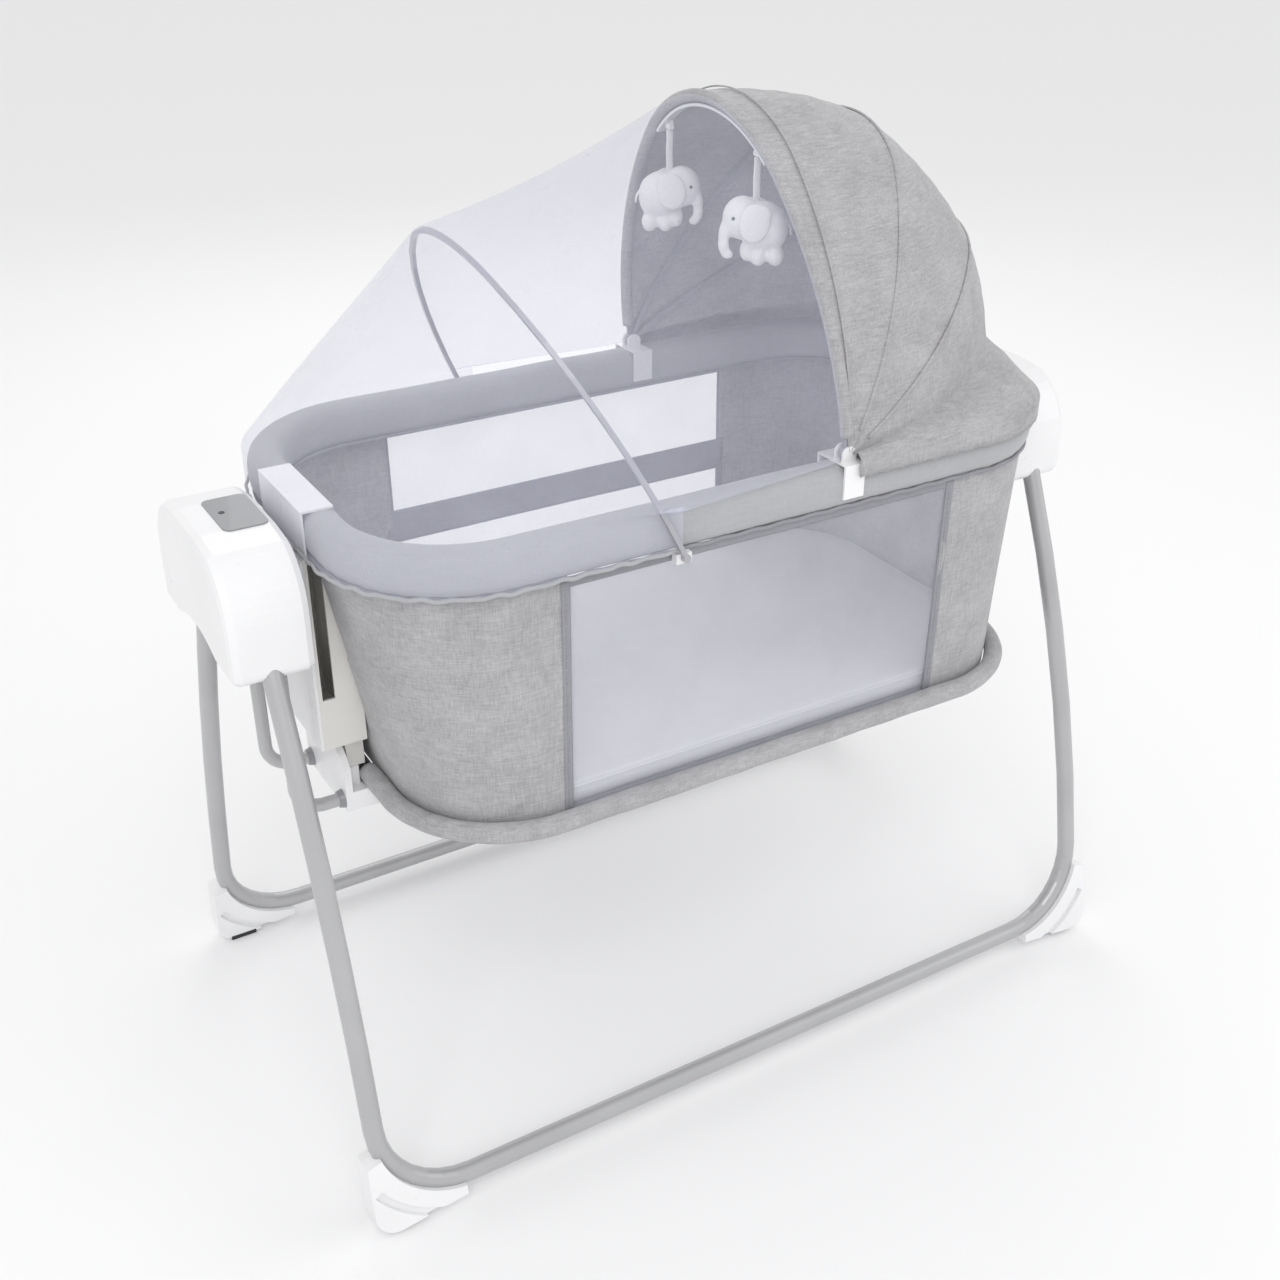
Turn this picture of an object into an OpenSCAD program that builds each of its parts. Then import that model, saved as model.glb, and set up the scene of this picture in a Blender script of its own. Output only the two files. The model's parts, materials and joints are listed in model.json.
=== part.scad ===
// Electric baby swing: a bassinet that hangs from a four-legged stand and swings from side to side.
// +X runs from the foot end (drive hub) to the head end (canopy), the front side is -Y, +Z is up.
// The origin is on the floor, at the centre of the stand.

/* [Stand] */
// Distance from the centre to the plane of the legs at each end
leg_x = 500; // [440:1:620]
// Distance from the centre to each floor tube
floor_y = 281; // [240:1:360]
// Height of the floor tubes' centre line
floor_z = 27; // [24:1:34]
// Outside diameter of the leg tubes
leg_d = 22; // [19:0.5:26]
// Wall of the leg tubes
leg_wall = 1.4; // [1:0.1:2]
// Radius of the bend between a leg and its floor tube
bend_r = 100; // [70:1:130]
// Lean of the legs from the vertical just above that bend
foot_lean = 10; // [6:0.5:14]
// Distance from the centre to the plug joint in the floor tubes
plug_x = 372; // [300:1:385]

/* [Hubs] */
// Height of the swing axis
pivot_z = 680; // [640:1:740]
// Hub underside below the swing axis
hub_drop = 76; // [70:1:84]
// Hub top above the swing axis
hub_rise = 57; // [54:1:66]
// Half width of a hub at its underside
hub_half = 119; // [112:1:130]
// Half spacing of the leg sockets at the hub's underside
socket_y = 98; // [92:1:100]
// How far a hub stands outside the leg plane
hub_out = 41; // [36:1:50]
// How far a hub reaches inside the leg plane
hub_in = 45; // [43:1:50]
// Wall of the hub shells
shell_t = 3; // [2:0.5:4]
// Diameter of the swing axle
axle_d = 12; // [10:0.5:14]

/* [Swing arms] */
// Distance from the leg plane in to the arm tubes
arm_in = 24; // [22:0.5:26]
// Half spacing of the two arm tubes at each end
arm_y = 49; // [44:1:54]
// Outside diameter of the arm tubes
arm_d = 15; // [12:0.5:17]
// Wall of the arm tubes
arm_wall = 1.3; // [1:0.1:2]
// Drop from the swing axis to the arm tubes' level ends
arm_drop = 282; // [250:1:310]
// Radius of the bend in the arm tubes
arm_bend_r = 31; // [24:1:40]

/* [Bassinet] */
// Half length of the padded rim
rim_a = 440; // [400:1:446]
// Half width of the padded rim
rim_b = 239; // [200:1:250]
// Corner radius of the rim and of the lower ring, in plan
corner_r = 150; // [110:1:180]
// Forward shift of the rim's centre
rim_cx = 3; // [0:1:4]
// Width of the rim's padding
rim_w = 38; // [32:1:46]
// Height of the rim's padding
rim_h = 48; // [42:1:60]
// Top of the rim above the swing axis
rim_rise = 68; // [60:1:80]
// Diameter of the tube inside the rim
rim_tube_d = 18; // [14:0.5:20]
// Half length of the lower ring
ring_a = 418; // [380:1:425]
// Half width of the lower ring
ring_b = 252; // [215:1:260]
// Forward shift of the lower ring's centre
ring_cx = 16; // [8:1:20]
// Outside diameter of the lower ring's sleeve
ring_d = 22; // [20:0.5:26]
// Diameter of the tube inside the lower ring
ring_tube_d = 16; // [12:0.5:18]
// Drop from the swing axis to the lower ring's centre line
ring_drop = 259; // [230:1:280]
// Thickness of the fabric walls
wall_t = 2.4; // [1.5:0.1:4]
// Half length of the mesh windows
window_a = 238; // [200:1:260]
// Thickness of the mattress
mattress_t = 27; // [20:1:50]

/* [Canopy and net] */
// Distance from the centre forward to the canopy pivots
clip_x = 105; // [90:1:120]
// Radius of the canopy bows about their pivots
bow_r = 332; // [320:1:336]
// Half spacing of the canopy pivots
bow_half = 226; // [215:1:228]
// Thickness of a canopy bow
bow_d = 7; // [5:0.5:8]
// Angle of the front bow above the horizontal
bow_tilt = 96; // [90:1:100]
// Thickness of the canopy fabric
canopy_t = 2.4; // [1.5:0.1:4]
// Distance from the centre back to the net hoop's feet
hoop_x = 108; // [90:1:130]
// Length of the net hoop from its feet to its top
hoop_h = 320; // [290:1:324]
// Lean of the net hoop towards the foot end
hoop_lean = 26; // [20:1:34]
// Diameter of the net hoop's wire
hoop_d = 5; // [4:0.5:7]
// Half width of an elephant toy
toy_r = 40; // [34:1:44]
// Half spacing of the two toys
toy_y = 86; // [80:1:92]

/* [Hidden] */
$fn = 48;
eps = 0.1;
fit = 0.15;
run = 0.06;
gap = 0.5;

// Colours
grey_paint = [0.66, 0.66, 0.67];
white_shell = [0.95, 0.95, 0.96];
cream_shell = [0.90, 0.89, 0.86];
panel_grey = [0.58, 0.59, 0.62];
heather = [0.68, 0.68, 0.69];
mesh_tint = [0.86, 0.87, 0.92];
steel = [0.75, 0.75, 0.77];
dark = [0.12, 0.12, 0.13];
copper = [0.72, 0.42, 0.20];

// Derived heights and places
hub_z0 = pivot_z - hub_drop;
hub_z1 = pivot_z + hub_rise;
arm_x = leg_x - arm_in;
arm_z = pivot_z - arm_drop;
rim_z1 = pivot_z + rim_rise;
rim_z0 = rim_z1 - rim_h;
ring_z = pivot_z - ring_drop;
canopy_z = rim_z1 + 9;
hoop_z = rim_z0 - 4;

// Legs: a straight stretch in the hub's socket, a bowed stretch, the bend and the floor run
leg_top = [socket_y + 14, hub_z0 + 3];
bend_top = [floor_y - bend_r * sin(foot_lean), floor_z + bend_r * cos(foot_lean)];
chord_lean = atan2(bend_top.x - leg_top.x, leg_top.y - bend_top.y);
top_lean = 2 * chord_lean - foot_lean;
bow_radius = (leg_top.y - bend_top.y) / (sin(top_lean) - sin(foot_lean));
bow_centre = bend_top - bow_radius * [cos(foot_lean), sin(foot_lean)];
socket_len = 46;
plug_len = min(42, leg_x - bend_r - plug_x - 2);
plug_r = leg_d / 2 - leg_wall - fit;
bore_r = leg_d / 2 - leg_wall;

// Sections of a leg from its top to the end of its bend: centre, and the two axes of the ring
sides = 32;
bow_steps = 5;
bend_steps = 8;
foot_axis = [0, -sin(foot_lean), cos(foot_lean)];
foot_normal = [0, cos(foot_lean), sin(foot_lean)];
bend_centre = [leg_x - bend_r, floor_y, floor_z] + bend_r * foot_axis;

function bow_section(p, lean) = [[leg_x, p.x, p.y], [1, 0, 0], [0, cos(lean), sin(lean)]];
function bow_at(lean) = bow_section(bow_centre + bow_radius * [cos(lean), sin(lean)], lean);
function bend_at(a) = let (u = [cos(a), 0, 0] - sin(a) * foot_axis) [bend_centre + bend_r * u, u, foot_normal];
function floor_at(x) = [[x, floor_y, floor_z], -foot_axis, foot_normal];
leg_path = concat(
    [bow_section(leg_top + socket_len * [-sin(top_lean), cos(top_lean)], top_lean)],
    [for (i = [0:bow_steps]) bow_at(top_lean + (foot_lean - top_lean) * i / bow_steps)],
    [for (i = [1:bend_steps]) bend_at(90 * i / bend_steps)]
);

function ring_of(sec, r) = [for (k = [0:sides - 1]) sec[0] + r * (cos(360 * k / sides) * sec[1] + sin(360 * k / sides) * sec[2])];

// Closed surface through rings that run down the outside of a tube and back up its bore
module tube_skin(rings) {
    m = len(rings);
    polyhedron(points = [for (ring = rings) each ring], faces = [
        for (i = [0:m - 1]) for (k = [0:sides - 1]) [
            i * sides + k, i * sides + (k + 1) % sides,
            ((i + 1) % m) * sides + (k + 1) % sides, ((i + 1) % m) * sides + k
        ]
    ]);
}

function rings_down(path, r) = [for (sec = path) ring_of(sec, r)];
function rings_up(path, r) = [for (i = [len(path) - 1:-1:0]) ring_of(path[i], r)];

// Clearance body round a leg, for the foot that hugs it
module leg_solid(r) {
    path = [for (i = [bow_steps:len(leg_path) - 1]) leg_path[i]];
    full = concat(path, [floor_at(leg_x - bend_r - 60)]);
    m = len(full);
    polyhedron(points = [for (sec = full) each ring_of(sec, r)], faces = concat(
        [[for (k = [sides - 1:-1:0]) k], [for (k = [0:sides - 1]) (m - 1) * sides + k]],
        [for (i = [0:m - 2]) for (k = [0:sides - 1]) [
            i * sides + k, i * sides + (k + 1) % sides, (i + 1) * sides + (k + 1) % sides, (i + 1) * sides + k
        ]]
    ));
}

// Leg with a short floor stretch that receives the plug
module leg_short() {
    path = concat(leg_path, [floor_at(plug_x)]);
    color(grey_paint) tube_skin(concat(rings_down(path, leg_d / 2), rings_up(path, bore_r)));
}

// Leg with the long floor stretch and the plug at its end
module leg_long() {
    path = concat(leg_path, [floor_at(-plug_x)]);
    end = floor_at(-plug_x - plug_len);
    color(grey_paint) tube_skin(concat(
        rings_down(path, leg_d / 2),
        [ring_of(floor_at(-plug_x), plug_r), ring_of(end, plug_r), ring_of(end, plug_r - leg_wall)],
        [ring_of(floor_at(-plug_x + 3), plug_r - leg_wall), ring_of(floor_at(-plug_x + 3), bore_r)],
        rings_up(leg_path, bore_r)
    ));
}

module leg_front_left() { mirror([1, 0, 0]) mirror([0, 1, 0]) leg_long(); }
module leg_front_right() { mirror([0, 1, 0]) leg_short(); }
module leg_rear_left() { mirror([1, 0, 0]) leg_long(); }
module leg_rear_right() { leg_short(); }

// Corner feet: a gusset outside the bend, with a crescent slot and a rubber pad
foot_t = 32;
foot_out = leg_d / 2 + 7;
foot_up = 66;
foot_in = 88;
foot_gap_z = 3;
pad_w = 22;
pad_l = 34;
pad_h = 6;
seat_r = bend_r + 0.45 * leg_d / 2;

module foot_profile() {
    tip = 26;
    low = floor_z / cos(foot_lean) - foot_gap_z;
    difference() {
        union() {
            polygon(concat(
                [[foot_out, foot_up]],
                [for (t = [0:10:90]) [foot_out - tip + tip * cos(t), -low + tip - tip * sin(t)]],
                [[-foot_in, -low + 9], [-foot_in, 0], [-bend_r, 0], [-bend_r, bend_r]]
            ));
        }
        translate([-bend_r, bend_r]) circle(r = seat_r, $fn = 96);
    }
}

module foot_slot() {
    translate([-bend_r, bend_r]) intersection() {
        difference() {
            circle(r = bend_r + 35, $fn = 96);
            circle(r = bend_r + 25, $fn = 96);
        }
        rotate(-72) square([bend_r * 2, bend_r * 2]);
        rotate(-122) square([bend_r * 2, bend_r * 2]);
    }
}

module foot() {
    color(white_shell) difference() {
        translate([leg_x, floor_y, floor_z]) rotate([foot_lean, 0, 0])
            rotate([90, 0, 0]) translate([0, 0, -foot_t / 2]) difference() {
                linear_extrude(foot_t) foot_profile();
                translate([0, 0, foot_t - 5]) linear_extrude(5 + eps) foot_slot();
                translate([0, 0, -eps]) linear_extrude(5 + eps) foot_slot();
            }
        leg_solid(leg_d / 2 + fit);
        translate([leg_x - 200, floor_y - 50, -20]) cube([300, 100, 20 + foot_gap_z]);
        translate([leg_x - pad_l + 2, floor_y - pad_w / 2 - 2, -eps]) cube([pad_l, pad_w, pad_h + eps]);
    }
}

module foot_front_left() { mirror([1, 0, 0]) mirror([0, 1, 0]) foot(); }
module foot_front_right() { mirror([0, 1, 0]) foot(); }
module foot_rear_left() { mirror([1, 0, 0]) foot(); }
module foot_rear_right() { foot(); }

module foot_pads() {
    color(dark) for (sx = [0, 1]) for (sy = [0, 1]) mirror([sx, 0, 0]) mirror([0, sy, 0])
        translate([leg_x - pad_l + 2 + fit, floor_y - pad_w / 2 - 2 + fit, 0])
            cube([pad_l - 2 * fit, pad_w - 2 * fit, pad_h - fit]);
}

// Hub outline across the stand, as a convex shape with rounded shoulders
function arc_pts(c, r, a0, a1, n) = [for (i = [0:n]) c + r * [cos(a0 + (a1 - a0) * i / n), sin(a0 + (a1 - a0) * i / n)]];

function hub_half_outline(inset, top, shoulder) = concat(
    arc_pts([hub_half - 12, hub_z0 + 12], 12 - min(inset, 11), -90, 0, 4),
    arc_pts([hub_half - shoulder, hub_z1 - shoulder - (hub_half - shoulder - top) * 0.24], shoulder - inset, 0, 68, 8),
    arc_pts([top - 14, hub_z1 - 14], 14 - min(inset, 13), 60, 90, 3)
);

function mirrored(pts) = concat(pts, [for (i = [len(pts) - 1:-1:0]) [-pts[i].x, pts[i].y]]);

module hub_slab(x, t, inset, top, shoulder) {
    translate([x, 0, 0]) rotate([90, 0, 90]) linear_extrude(t)
        polygon(mirrored(hub_half_outline(inset, top, shoulder)));
}

split_x = leg_x + 14;
hub_x1 = leg_x + hub_out;
hub_x0 = leg_x - hub_in;
edge_r = 9;
screw_y = 70;
screw_z = pivot_z + 10;

module cover_body(inset, top, shoulder) {
    hull() {
        hub_slab(split_x, hub_x1 - edge_r - inset - split_x, inset, top, shoulder);
        hub_slab(hub_x1 - 3 - inset, 0.7, inset + 3.2, top, shoulder);
        hub_slab(hub_x1 - 0.7 - inset, 0.7, inset + edge_r, top, shoulder);
    }
}

module housing_body(inset, top, shoulder) {
    hull() {
        hub_slab(hub_x0 + edge_r + inset, split_x - hub_x0 - edge_r - inset, inset, top, shoulder);
        hub_slab(hub_x0 + 2.3 + inset, 0.7, inset + 3.2, top, shoulder);
        hub_slab(hub_x0 + inset, 0.7, inset + edge_r, top, shoulder);
    }
}

// Arch in the hub's underside between the two leg sockets
module underside_arch() {
    translate([hub_x0 - 1, 0, hub_z0 - 126]) rotate([0, 90, 0]) cylinder(h = hub_out + hub_in + 2, r = 148, $fn = 96);
}

module hub_cover(top, shoulder) {
    difference() {
        cover_body(0, top, shoulder);
        difference() {
            translate([-eps, 0, 0]) cover_body(shell_t, top, shoulder);
            translate([split_x, 0, pivot_z]) rotate([0, 90, 0]) cylinder(h = 60, r = axle_d / 2 + 6);
            for (s = [-1, 1]) translate([split_x, s * screw_y, screw_z]) rotate([0, 90, 0]) cylinder(h = 60, r = 5);
        }
        translate([split_x - 1, 0, pivot_z]) rotate([0, 90, 0]) cylinder(h = 1 + 20 + fit, r = axle_d / 2 + 0.02);
        for (s = [-1, 1]) translate([split_x - 1, s * screw_y, screw_z]) rotate([0, 90, 0]) cylinder(h = 13, r = 2);
        underside_arch();
    }
}

module socket_sleeve(r, len) {
    translate([leg_x, leg_top.x, leg_top.y]) rotate([top_lean, 0, 0]) translate([0, 0, -16]) cylinder(h = len + 16, r = r);
}

module hub_housing(top, shoulder) {
    difference() {
        union() {
            difference() {
                housing_body(0, top, shoulder);
                translate([eps, 0, 0]) housing_body(shell_t, top, shoulder);
                underside_arch();
            }
            intersection() {
                housing_body(shell_t - 1, top, shoulder);
                union() {
                    for (s = [0, 1]) mirror([0, s, 0]) socket_sleeve(leg_d / 2 + 2.6, socket_len + 3);
                    translate([hub_x0 + 1, 0, pivot_z]) rotate([0, 90, 0]) cylinder(h = 7, r = axle_d / 2 + 5);
                    for (s = [-1, 1]) translate([hub_x0 + 1, s * screw_y, screw_z]) rotate([0, 90, 0])
                        cylinder(h = split_x - hub_x0 - 1, r = 5);
                }
            }
        }
        for (s = [0, 1]) mirror([0, s, 0]) socket_sleeve(leg_d / 2 + fit, socket_len);
        translate([hub_x0 + shell_t, 0, pivot_z]) rotate([0, 90, 0]) cylinder(h = 20, r = axle_d / 2 + 0.02);
        for (s = [-1, 1]) translate([hub_x0 - 1, s * screw_y, screw_z]) rotate([0, 90, 0]) cylinder(h = 80, r = 2.3);
        translate([arm_x - 12, -arm_y - 33, hub_z0 - 5]) cube([24, 2 * arm_y + 66, 30]);
    }
}

panel_x0 = hub_x0 + 8;
panel_l = 46;
panel_w = 84;
panel_t = 2.5;

module panel_plate(grow, t) {
    translate([panel_x0 + panel_l / 2, 0, hub_z1 - 1.5]) linear_extrude(t)
        polygon(mirrored_plate(panel_l / 2 + grow, panel_w / 2 + grow, 8));
}

function mirrored_plate(a, b, r) = concat(
    arc_pts([a - r, b - r], r, 0, 90, 5), arc_pts([-a + r, b - r], r, 90, 180, 5),
    arc_pts([-a + r, -b + r], r, 180, 270, 5), arc_pts([a - r, -b + r], r, 270, 360, 5)
);

left_top = 52;
left_shoulder = 67;
right_top = 40;
right_shoulder = 82;
inlet = [leg_x + 26, 90];
inlet_r = 2.75;
inlet_body_r = 5.5;

module hub_left_cover() {
    color(white_shell) mirror([1, 0, 0]) difference() {
        union() {
            hub_cover(left_top, left_shoulder);
            for (s = [-1, 1]) translate([board_x + board_t0, s * 30, board_z + 13]) rotate([0, 90, 0])
                cylinder(h = hub_x1 - shell_t + 1 - board_x - board_t0, r = 3);
        }
        translate([inlet.x, inlet.y, hub_z0 - 1]) cylinder(h = 20, r = inlet_body_r + fit);
    }
}

module hub_left_housing() {
    color(white_shell) mirror([1, 0, 0]) difference() {
        union() {
            hub_housing(left_top, left_shoulder);
            translate([arm_x, 0, coil_z + coil_h]) cylinder(h = hub_z1 - shell_t + 1 - coil_z - coil_h, r = 4);
        }
        panel_plate(fit, 10);
    }
}

module hub_right_cover() { color(white_shell) hub_cover(right_top, right_shoulder); }
module hub_right_housing() { color(white_shell) hub_housing(right_top, right_shoulder); }

window_at = [panel_x0 + panel_l - 11, 4];

module control_panel() {
    color(panel_grey) mirror([1, 0, 0]) difference() {
        panel_plate(0, panel_t);
        translate([window_at.x, window_at.y, hub_z1 - 3]) cylinder(h = 9, r = 3.2);
    }
}

module ir_window() {
    color(dark) mirror([1, 0, 0]) translate([window_at.x, window_at.y, hub_z1 - 1.5]) cylinder(h = panel_t + 0.4, r = 3.2 - fit);
}

board_x = split_x + 6;
board_t0 = 1.6;
board_z = pivot_z + 14;

module control_board() {
    color("darkgreen") mirror([1, 0, 0]) translate([board_x, -38, board_z]) cube([board_t0, 76, 26]);
}

magnet_z = pivot_z + 21;
magnet_h = 8;

coil_z = magnet_z + magnet_h + 4;
coil_h = 14;

module drive_coil() {
    color(copper) translate([-arm_x, 0, coil_z]) difference() {
        cylinder(h = coil_h, r = 11);
        translate([0, 0, -eps]) cylinder(h = 8, r = 3);
    }
}

inlet_h = 12;
inlet_z = hub_z0;

module power_inlet() {
    color(dark) mirror([1, 0, 0]) translate([inlet.x, inlet.y, inlet_z]) difference() {
        cylinder(h = inlet_h, r = inlet_body_r);
        translate([0, 0, -eps]) cylinder(h = 9 + eps, r = inlet_r);
    }
}

module hub_screws() {
    color(steel) for (sx = [0, 1]) mirror([sx, 0, 0]) for (s = [-1, 1])
        translate([hub_x0 - 2, s * screw_y, screw_z]) rotate([0, 90, 0]) {
            cylinder(h = 2, r = 4);
            cylinder(h = split_x - hub_x0 + 13, r = 1.9);
        }
}

axle_x0 = hub_x0 + shell_t + 0.5;
axle_x1 = split_x + 19.5;

module axles() {
    color(steel) for (sx = [0, 1]) mirror([sx, 0, 0])
        translate([axle_x0, 0, pivot_z]) rotate([0, 90, 0]) cylinder(h = axle_x1 - axle_x0, r = axle_d / 2);
}

// Swing arms
block_w = 19;
block_z0 = pivot_z - 42;
bearing_r = axle_d / 2 + 8;
bearing_w = 8;

module bearings() {
    color(steel) for (sx = [0, 1]) mirror([sx, 0, 0])
        translate([arm_x - bearing_w / 2, 0, pivot_z]) rotate([0, 90, 0]) difference() {
            cylinder(h = bearing_w, r = bearing_r);
            translate([0, 0, -eps]) cylinder(h = bearing_w + 2 * eps, r = axle_d / 2 + run);
        }
}

module arm_block() {
    x0 = arm_x - block_w / 2;
    color(white_shell) difference() {
        union() {
            translate([x0, 0, pivot_z]) rotate([0, 90, 0]) cylinder(h = block_w, r = bearing_r + 4);
            translate([x0, -arm_y - arm_d / 2 - 2, block_z0]) cube([block_w, 2 * arm_y + arm_d + 4, 22]);
            translate([x0, -14, block_z0]) cube([block_w, 28, pivot_z - block_z0]);
            translate([x0, -9, pivot_z]) cube([block_w, 18, magnet_z - pivot_z]);
        }
        translate([arm_x - bearing_w / 2, 0, pivot_z]) rotate([0, 90, 0]) cylinder(h = block_w, r = bearing_r);
        translate([x0 - 1, 0, pivot_z]) rotate([0, 90, 0]) cylinder(h = block_w, r = axle_d / 2 + 2);
        for (s = [-1, 1]) translate([arm_x, s * arm_y, block_z0 - eps]) cylinder(h = 18 + eps, r = arm_d / 2 + 0.02);
    }
}

module arm_block_left() { mirror([1, 0, 0]) arm_block(); }
module arm_block_right() { arm_block(); }

module drive_magnet() {
    color(dark) translate([-arm_x - 8, -9, magnet_z]) cube([16, 18, magnet_h]);
}

// Level ends of the arm tubes reach the bracket at each end of the lower ring
left_face = ring_a - ring_cx + 22;
right_face = ring_a + ring_cx + 14;
arm_seat = 18;

module arm_core(face, r, over) {
    translate([arm_x, 0, arm_z + arm_bend_r]) cylinder(h = block_z0 + 18 - arm_z - arm_bend_r + over, r = r);
    translate([arm_x - arm_bend_r, 0, arm_z + arm_bend_r]) rotate([90, 0, 0]) rotate([0, 0, -90])
        rotate_extrude(angle = 90, $fn = 96) translate([arm_bend_r, 0]) circle(r = r, $fn = 48);
    translate([face - arm_seat - over, 0, arm_z]) rotate([0, 90, 0])
        cylinder(h = arm_x - arm_bend_r - face + arm_seat + over, r = r);
}

module arm_tube(face) {
    color(grey_paint) difference() {
        arm_core(face, arm_d / 2, 0);
        arm_core(face, arm_d / 2 - arm_wall, eps);
    }
}

module arm_left_front() { mirror([1, 0, 0]) translate([0, -arm_y, 0]) arm_tube(left_face); }
module arm_left_rear() { mirror([1, 0, 0]) translate([0, arm_y, 0]) arm_tube(left_face); }
module arm_right_front() { translate([0, -arm_y, 0]) arm_tube(right_face); }
module arm_right_rear() { translate([0, arm_y, 0]) arm_tube(right_face); }

collar_l = 6;

module collar(face) {
    difference() {
        translate([face, 0, arm_z]) rotate([0, 90, 0]) cylinder(h = collar_l, r1 = arm_d / 2 + 3.5, r2 = arm_d / 2 + 1.8);
        arm_core(face, arm_d / 2 + 0.05, 0);
    }
}

module arm_collars() {
    color(dark) for (s = [-1, 1]) {
        mirror([1, 0, 0]) translate([0, s * arm_y, 0]) collar(left_face);
        translate([0, s * arm_y, 0]) collar(right_face);
    }
}

// Bracket under each end of the lower ring
bracket_half = arm_y + arm_d / 2 + 5;
bracket_z0 = arm_z - 12;

module bracket(face, ring_end, arch_z) {
    saddle_z = ring_z - ring_d / 2 - fit;
    color(white_shell) difference() {
        union() {
            translate([ring_end - ring_d, -bracket_half, bracket_z0]) cube([face - ring_end + ring_d, 2 * bracket_half, saddle_z - bracket_z0]);
            intersection() {
                translate([face - 8, -bracket_half, bracket_z0]) cube([8, 2 * bracket_half, arch_z - bracket_z0]);
                translate([face - 9, 0, arch_z - bracket_half * 1.25]) rotate([0, 90, 0]) cylinder(h = 10, r = bracket_half * 1.25, $fn = 96);
            }
            translate([ring_end + fit, -bracket_half + 14, bracket_z0]) cube([face - ring_end - fit, 2 * bracket_half - 28, ring_z + 12 - bracket_z0]);
        }
        for (s = [-1, 1]) translate([face - arm_seat - fit, s * arm_y, arm_z]) rotate([0, 90, 0])
            cylinder(h = arm_seat + fit + eps, r = arm_d / 2 + 0.02);
    }
}

left_ring_end = ring_a - ring_cx;
right_ring_end = ring_a + ring_cx;
left_arch_z = ring_z + 50;
right_arch_z = ring_z + 50;

module end_bracket_left() { mirror([1, 0, 0]) bracket(left_face, left_ring_end, left_arch_z); }
module end_bracket_right() { bracket(right_face, right_ring_end, right_arch_z); }

// Posts from the brackets up to the rim
post_half = 62;
post_x1 = leg_x - hub_in - 13;
post_x0 = left_ring_end - 8;
post_cover_t = 3;
post_z0 = left_arch_z + 2;

module end_post_left() {
    color(cream_shell) mirror([1, 0, 0]) difference() {
        union() {
            translate([post_x0, -post_half, post_z0]) cube([post_x1 - post_x0, 2 * post_half, rim_z0 - post_z0]);
            translate([post_x0, -post_half + 16, ring_z + 12.2]) cube([left_face - 10 - post_x0, 2 * post_half - 32, post_z0 - ring_z - 12]);
        }
        translate([post_x0 + 3, -post_half + 3, post_z0 + 3]) cube([post_x1 - post_x0 - 6, 2 * post_half - 6, rim_z0 - post_z0 - 6]);
        for (s = [-1, 1]) translate([post_x1 - 18, s * (post_half - 1.2) - 2, post_z0 + 60]) cube([14, 4, rim_z0 - post_z0 - 59]);
    }
}

module post_cover() {
    color(white_shell) mirror([1, 0, 0]) difference() {
        translate([post_x1 + eps, -post_half, post_z0]) cube([post_cover_t, 2 * post_half, rim_z0 - post_z0 - 4]);
        translate([post_x1 - 1, -post_half + 22, pivot_z - 92]) cube([6, 5, 12]);
        translate([post_x1 + post_cover_t - 1, -post_half + 18, pivot_z - 148]) rotate([0, 90, 0])
            intersection() {
                translate([0, -22, 0]) cylinder(h = 3, r = 27);
                translate([0, 22, 0]) cylinder(h = 3, r = 27);
            }
    }
}

right_post_x0 = rim_a + rim_cx + 1;
right_post_x1 = leg_x - hub_in - 1.5;

module end_post_right() {
    color(cream_shell) difference() {
        translate([right_post_x0, -post_half + 20, right_arch_z + 2]) cube([right_post_x1 - right_post_x0, 2 * post_half - 40, rim_z0 + 20 - right_arch_z]);
        translate([right_post_x0 + 3, -post_half + 23, right_arch_z + 5]) cube([right_post_x1 - right_post_x0 - 6, 2 * post_half - 46, rim_z0 + 14 - right_arch_z]);
    }
}

// Plan of the bassinet: a rectangle with rounded corners
function plan(a, b, off) = let (r = corner_r + off, p = a - corner_r, q = b - corner_r) concat(
    arc_pts([p, q], r, 0, 90, 10), arc_pts([-p, q], r, 90, 180, 10),
    arc_pts([-p, -q], r, 180, 270, 10), arc_pts([p, -q], r, 270, 360, 10)
);

module rim_plan(off) { translate([rim_cx, 0]) polygon(plan(rim_a, rim_b, off)); }
module ring_plan(off) { translate([ring_cx, 0]) polygon(plan(ring_a, ring_b, off)); }

// Round bar that follows the plan, with its centre line set in by an offset
module loop_tube(a, b, off, r) {
    p = a - corner_r;
    q = b - corner_r;
    for (s = [-1, 1]) {
        translate([-p, s * (b + off), 0]) rotate([0, 90, 0]) cylinder(h = 2 * p, r = r);
        translate([s * (a + off), q, 0]) rotate([90, 0, 0]) cylinder(h = 2 * q, r = r);
    }
    for (s = [0, 1]) for (t = [0, 1]) mirror([s, 0, 0]) mirror([0, t, 0])
        translate([p, q, 0]) rotate_extrude(angle = 90, $fn = 96) translate([corner_r + off, 0]) circle(r = r, $fn = 48);
}

// Slit where the two ends of a bent tube meet
module tube_seam(x) {
    translate([x - 20, -0.5, -20]) cube([40, 1, 40]);
}

module ring_tube() {
    color(steel) translate([ring_cx, 0, ring_z]) difference() {
        loop_tube(ring_a, ring_b, -ring_d / 2, ring_tube_d / 2);
        loop_tube(ring_a, ring_b, -ring_d / 2, ring_tube_d / 2 - 1.2);
        tube_seam(ring_a - ring_d / 2);
    }
}

sleeve_gap = 40;

module ring_sleeve() {
    color(heather) translate([ring_cx, 0, ring_z]) difference() {
        loop_tube(ring_a, ring_b, -ring_d / 2, ring_d / 2);
        loop_tube(ring_a, ring_b, -ring_d / 2, ring_tube_d / 2 + 0.05);
        for (s = [-1, 1]) translate([s * ring_a - 30, -sleeve_gap, -20]) cube([60, 2 * sleeve_gap, 40]);
    }
}

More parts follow.
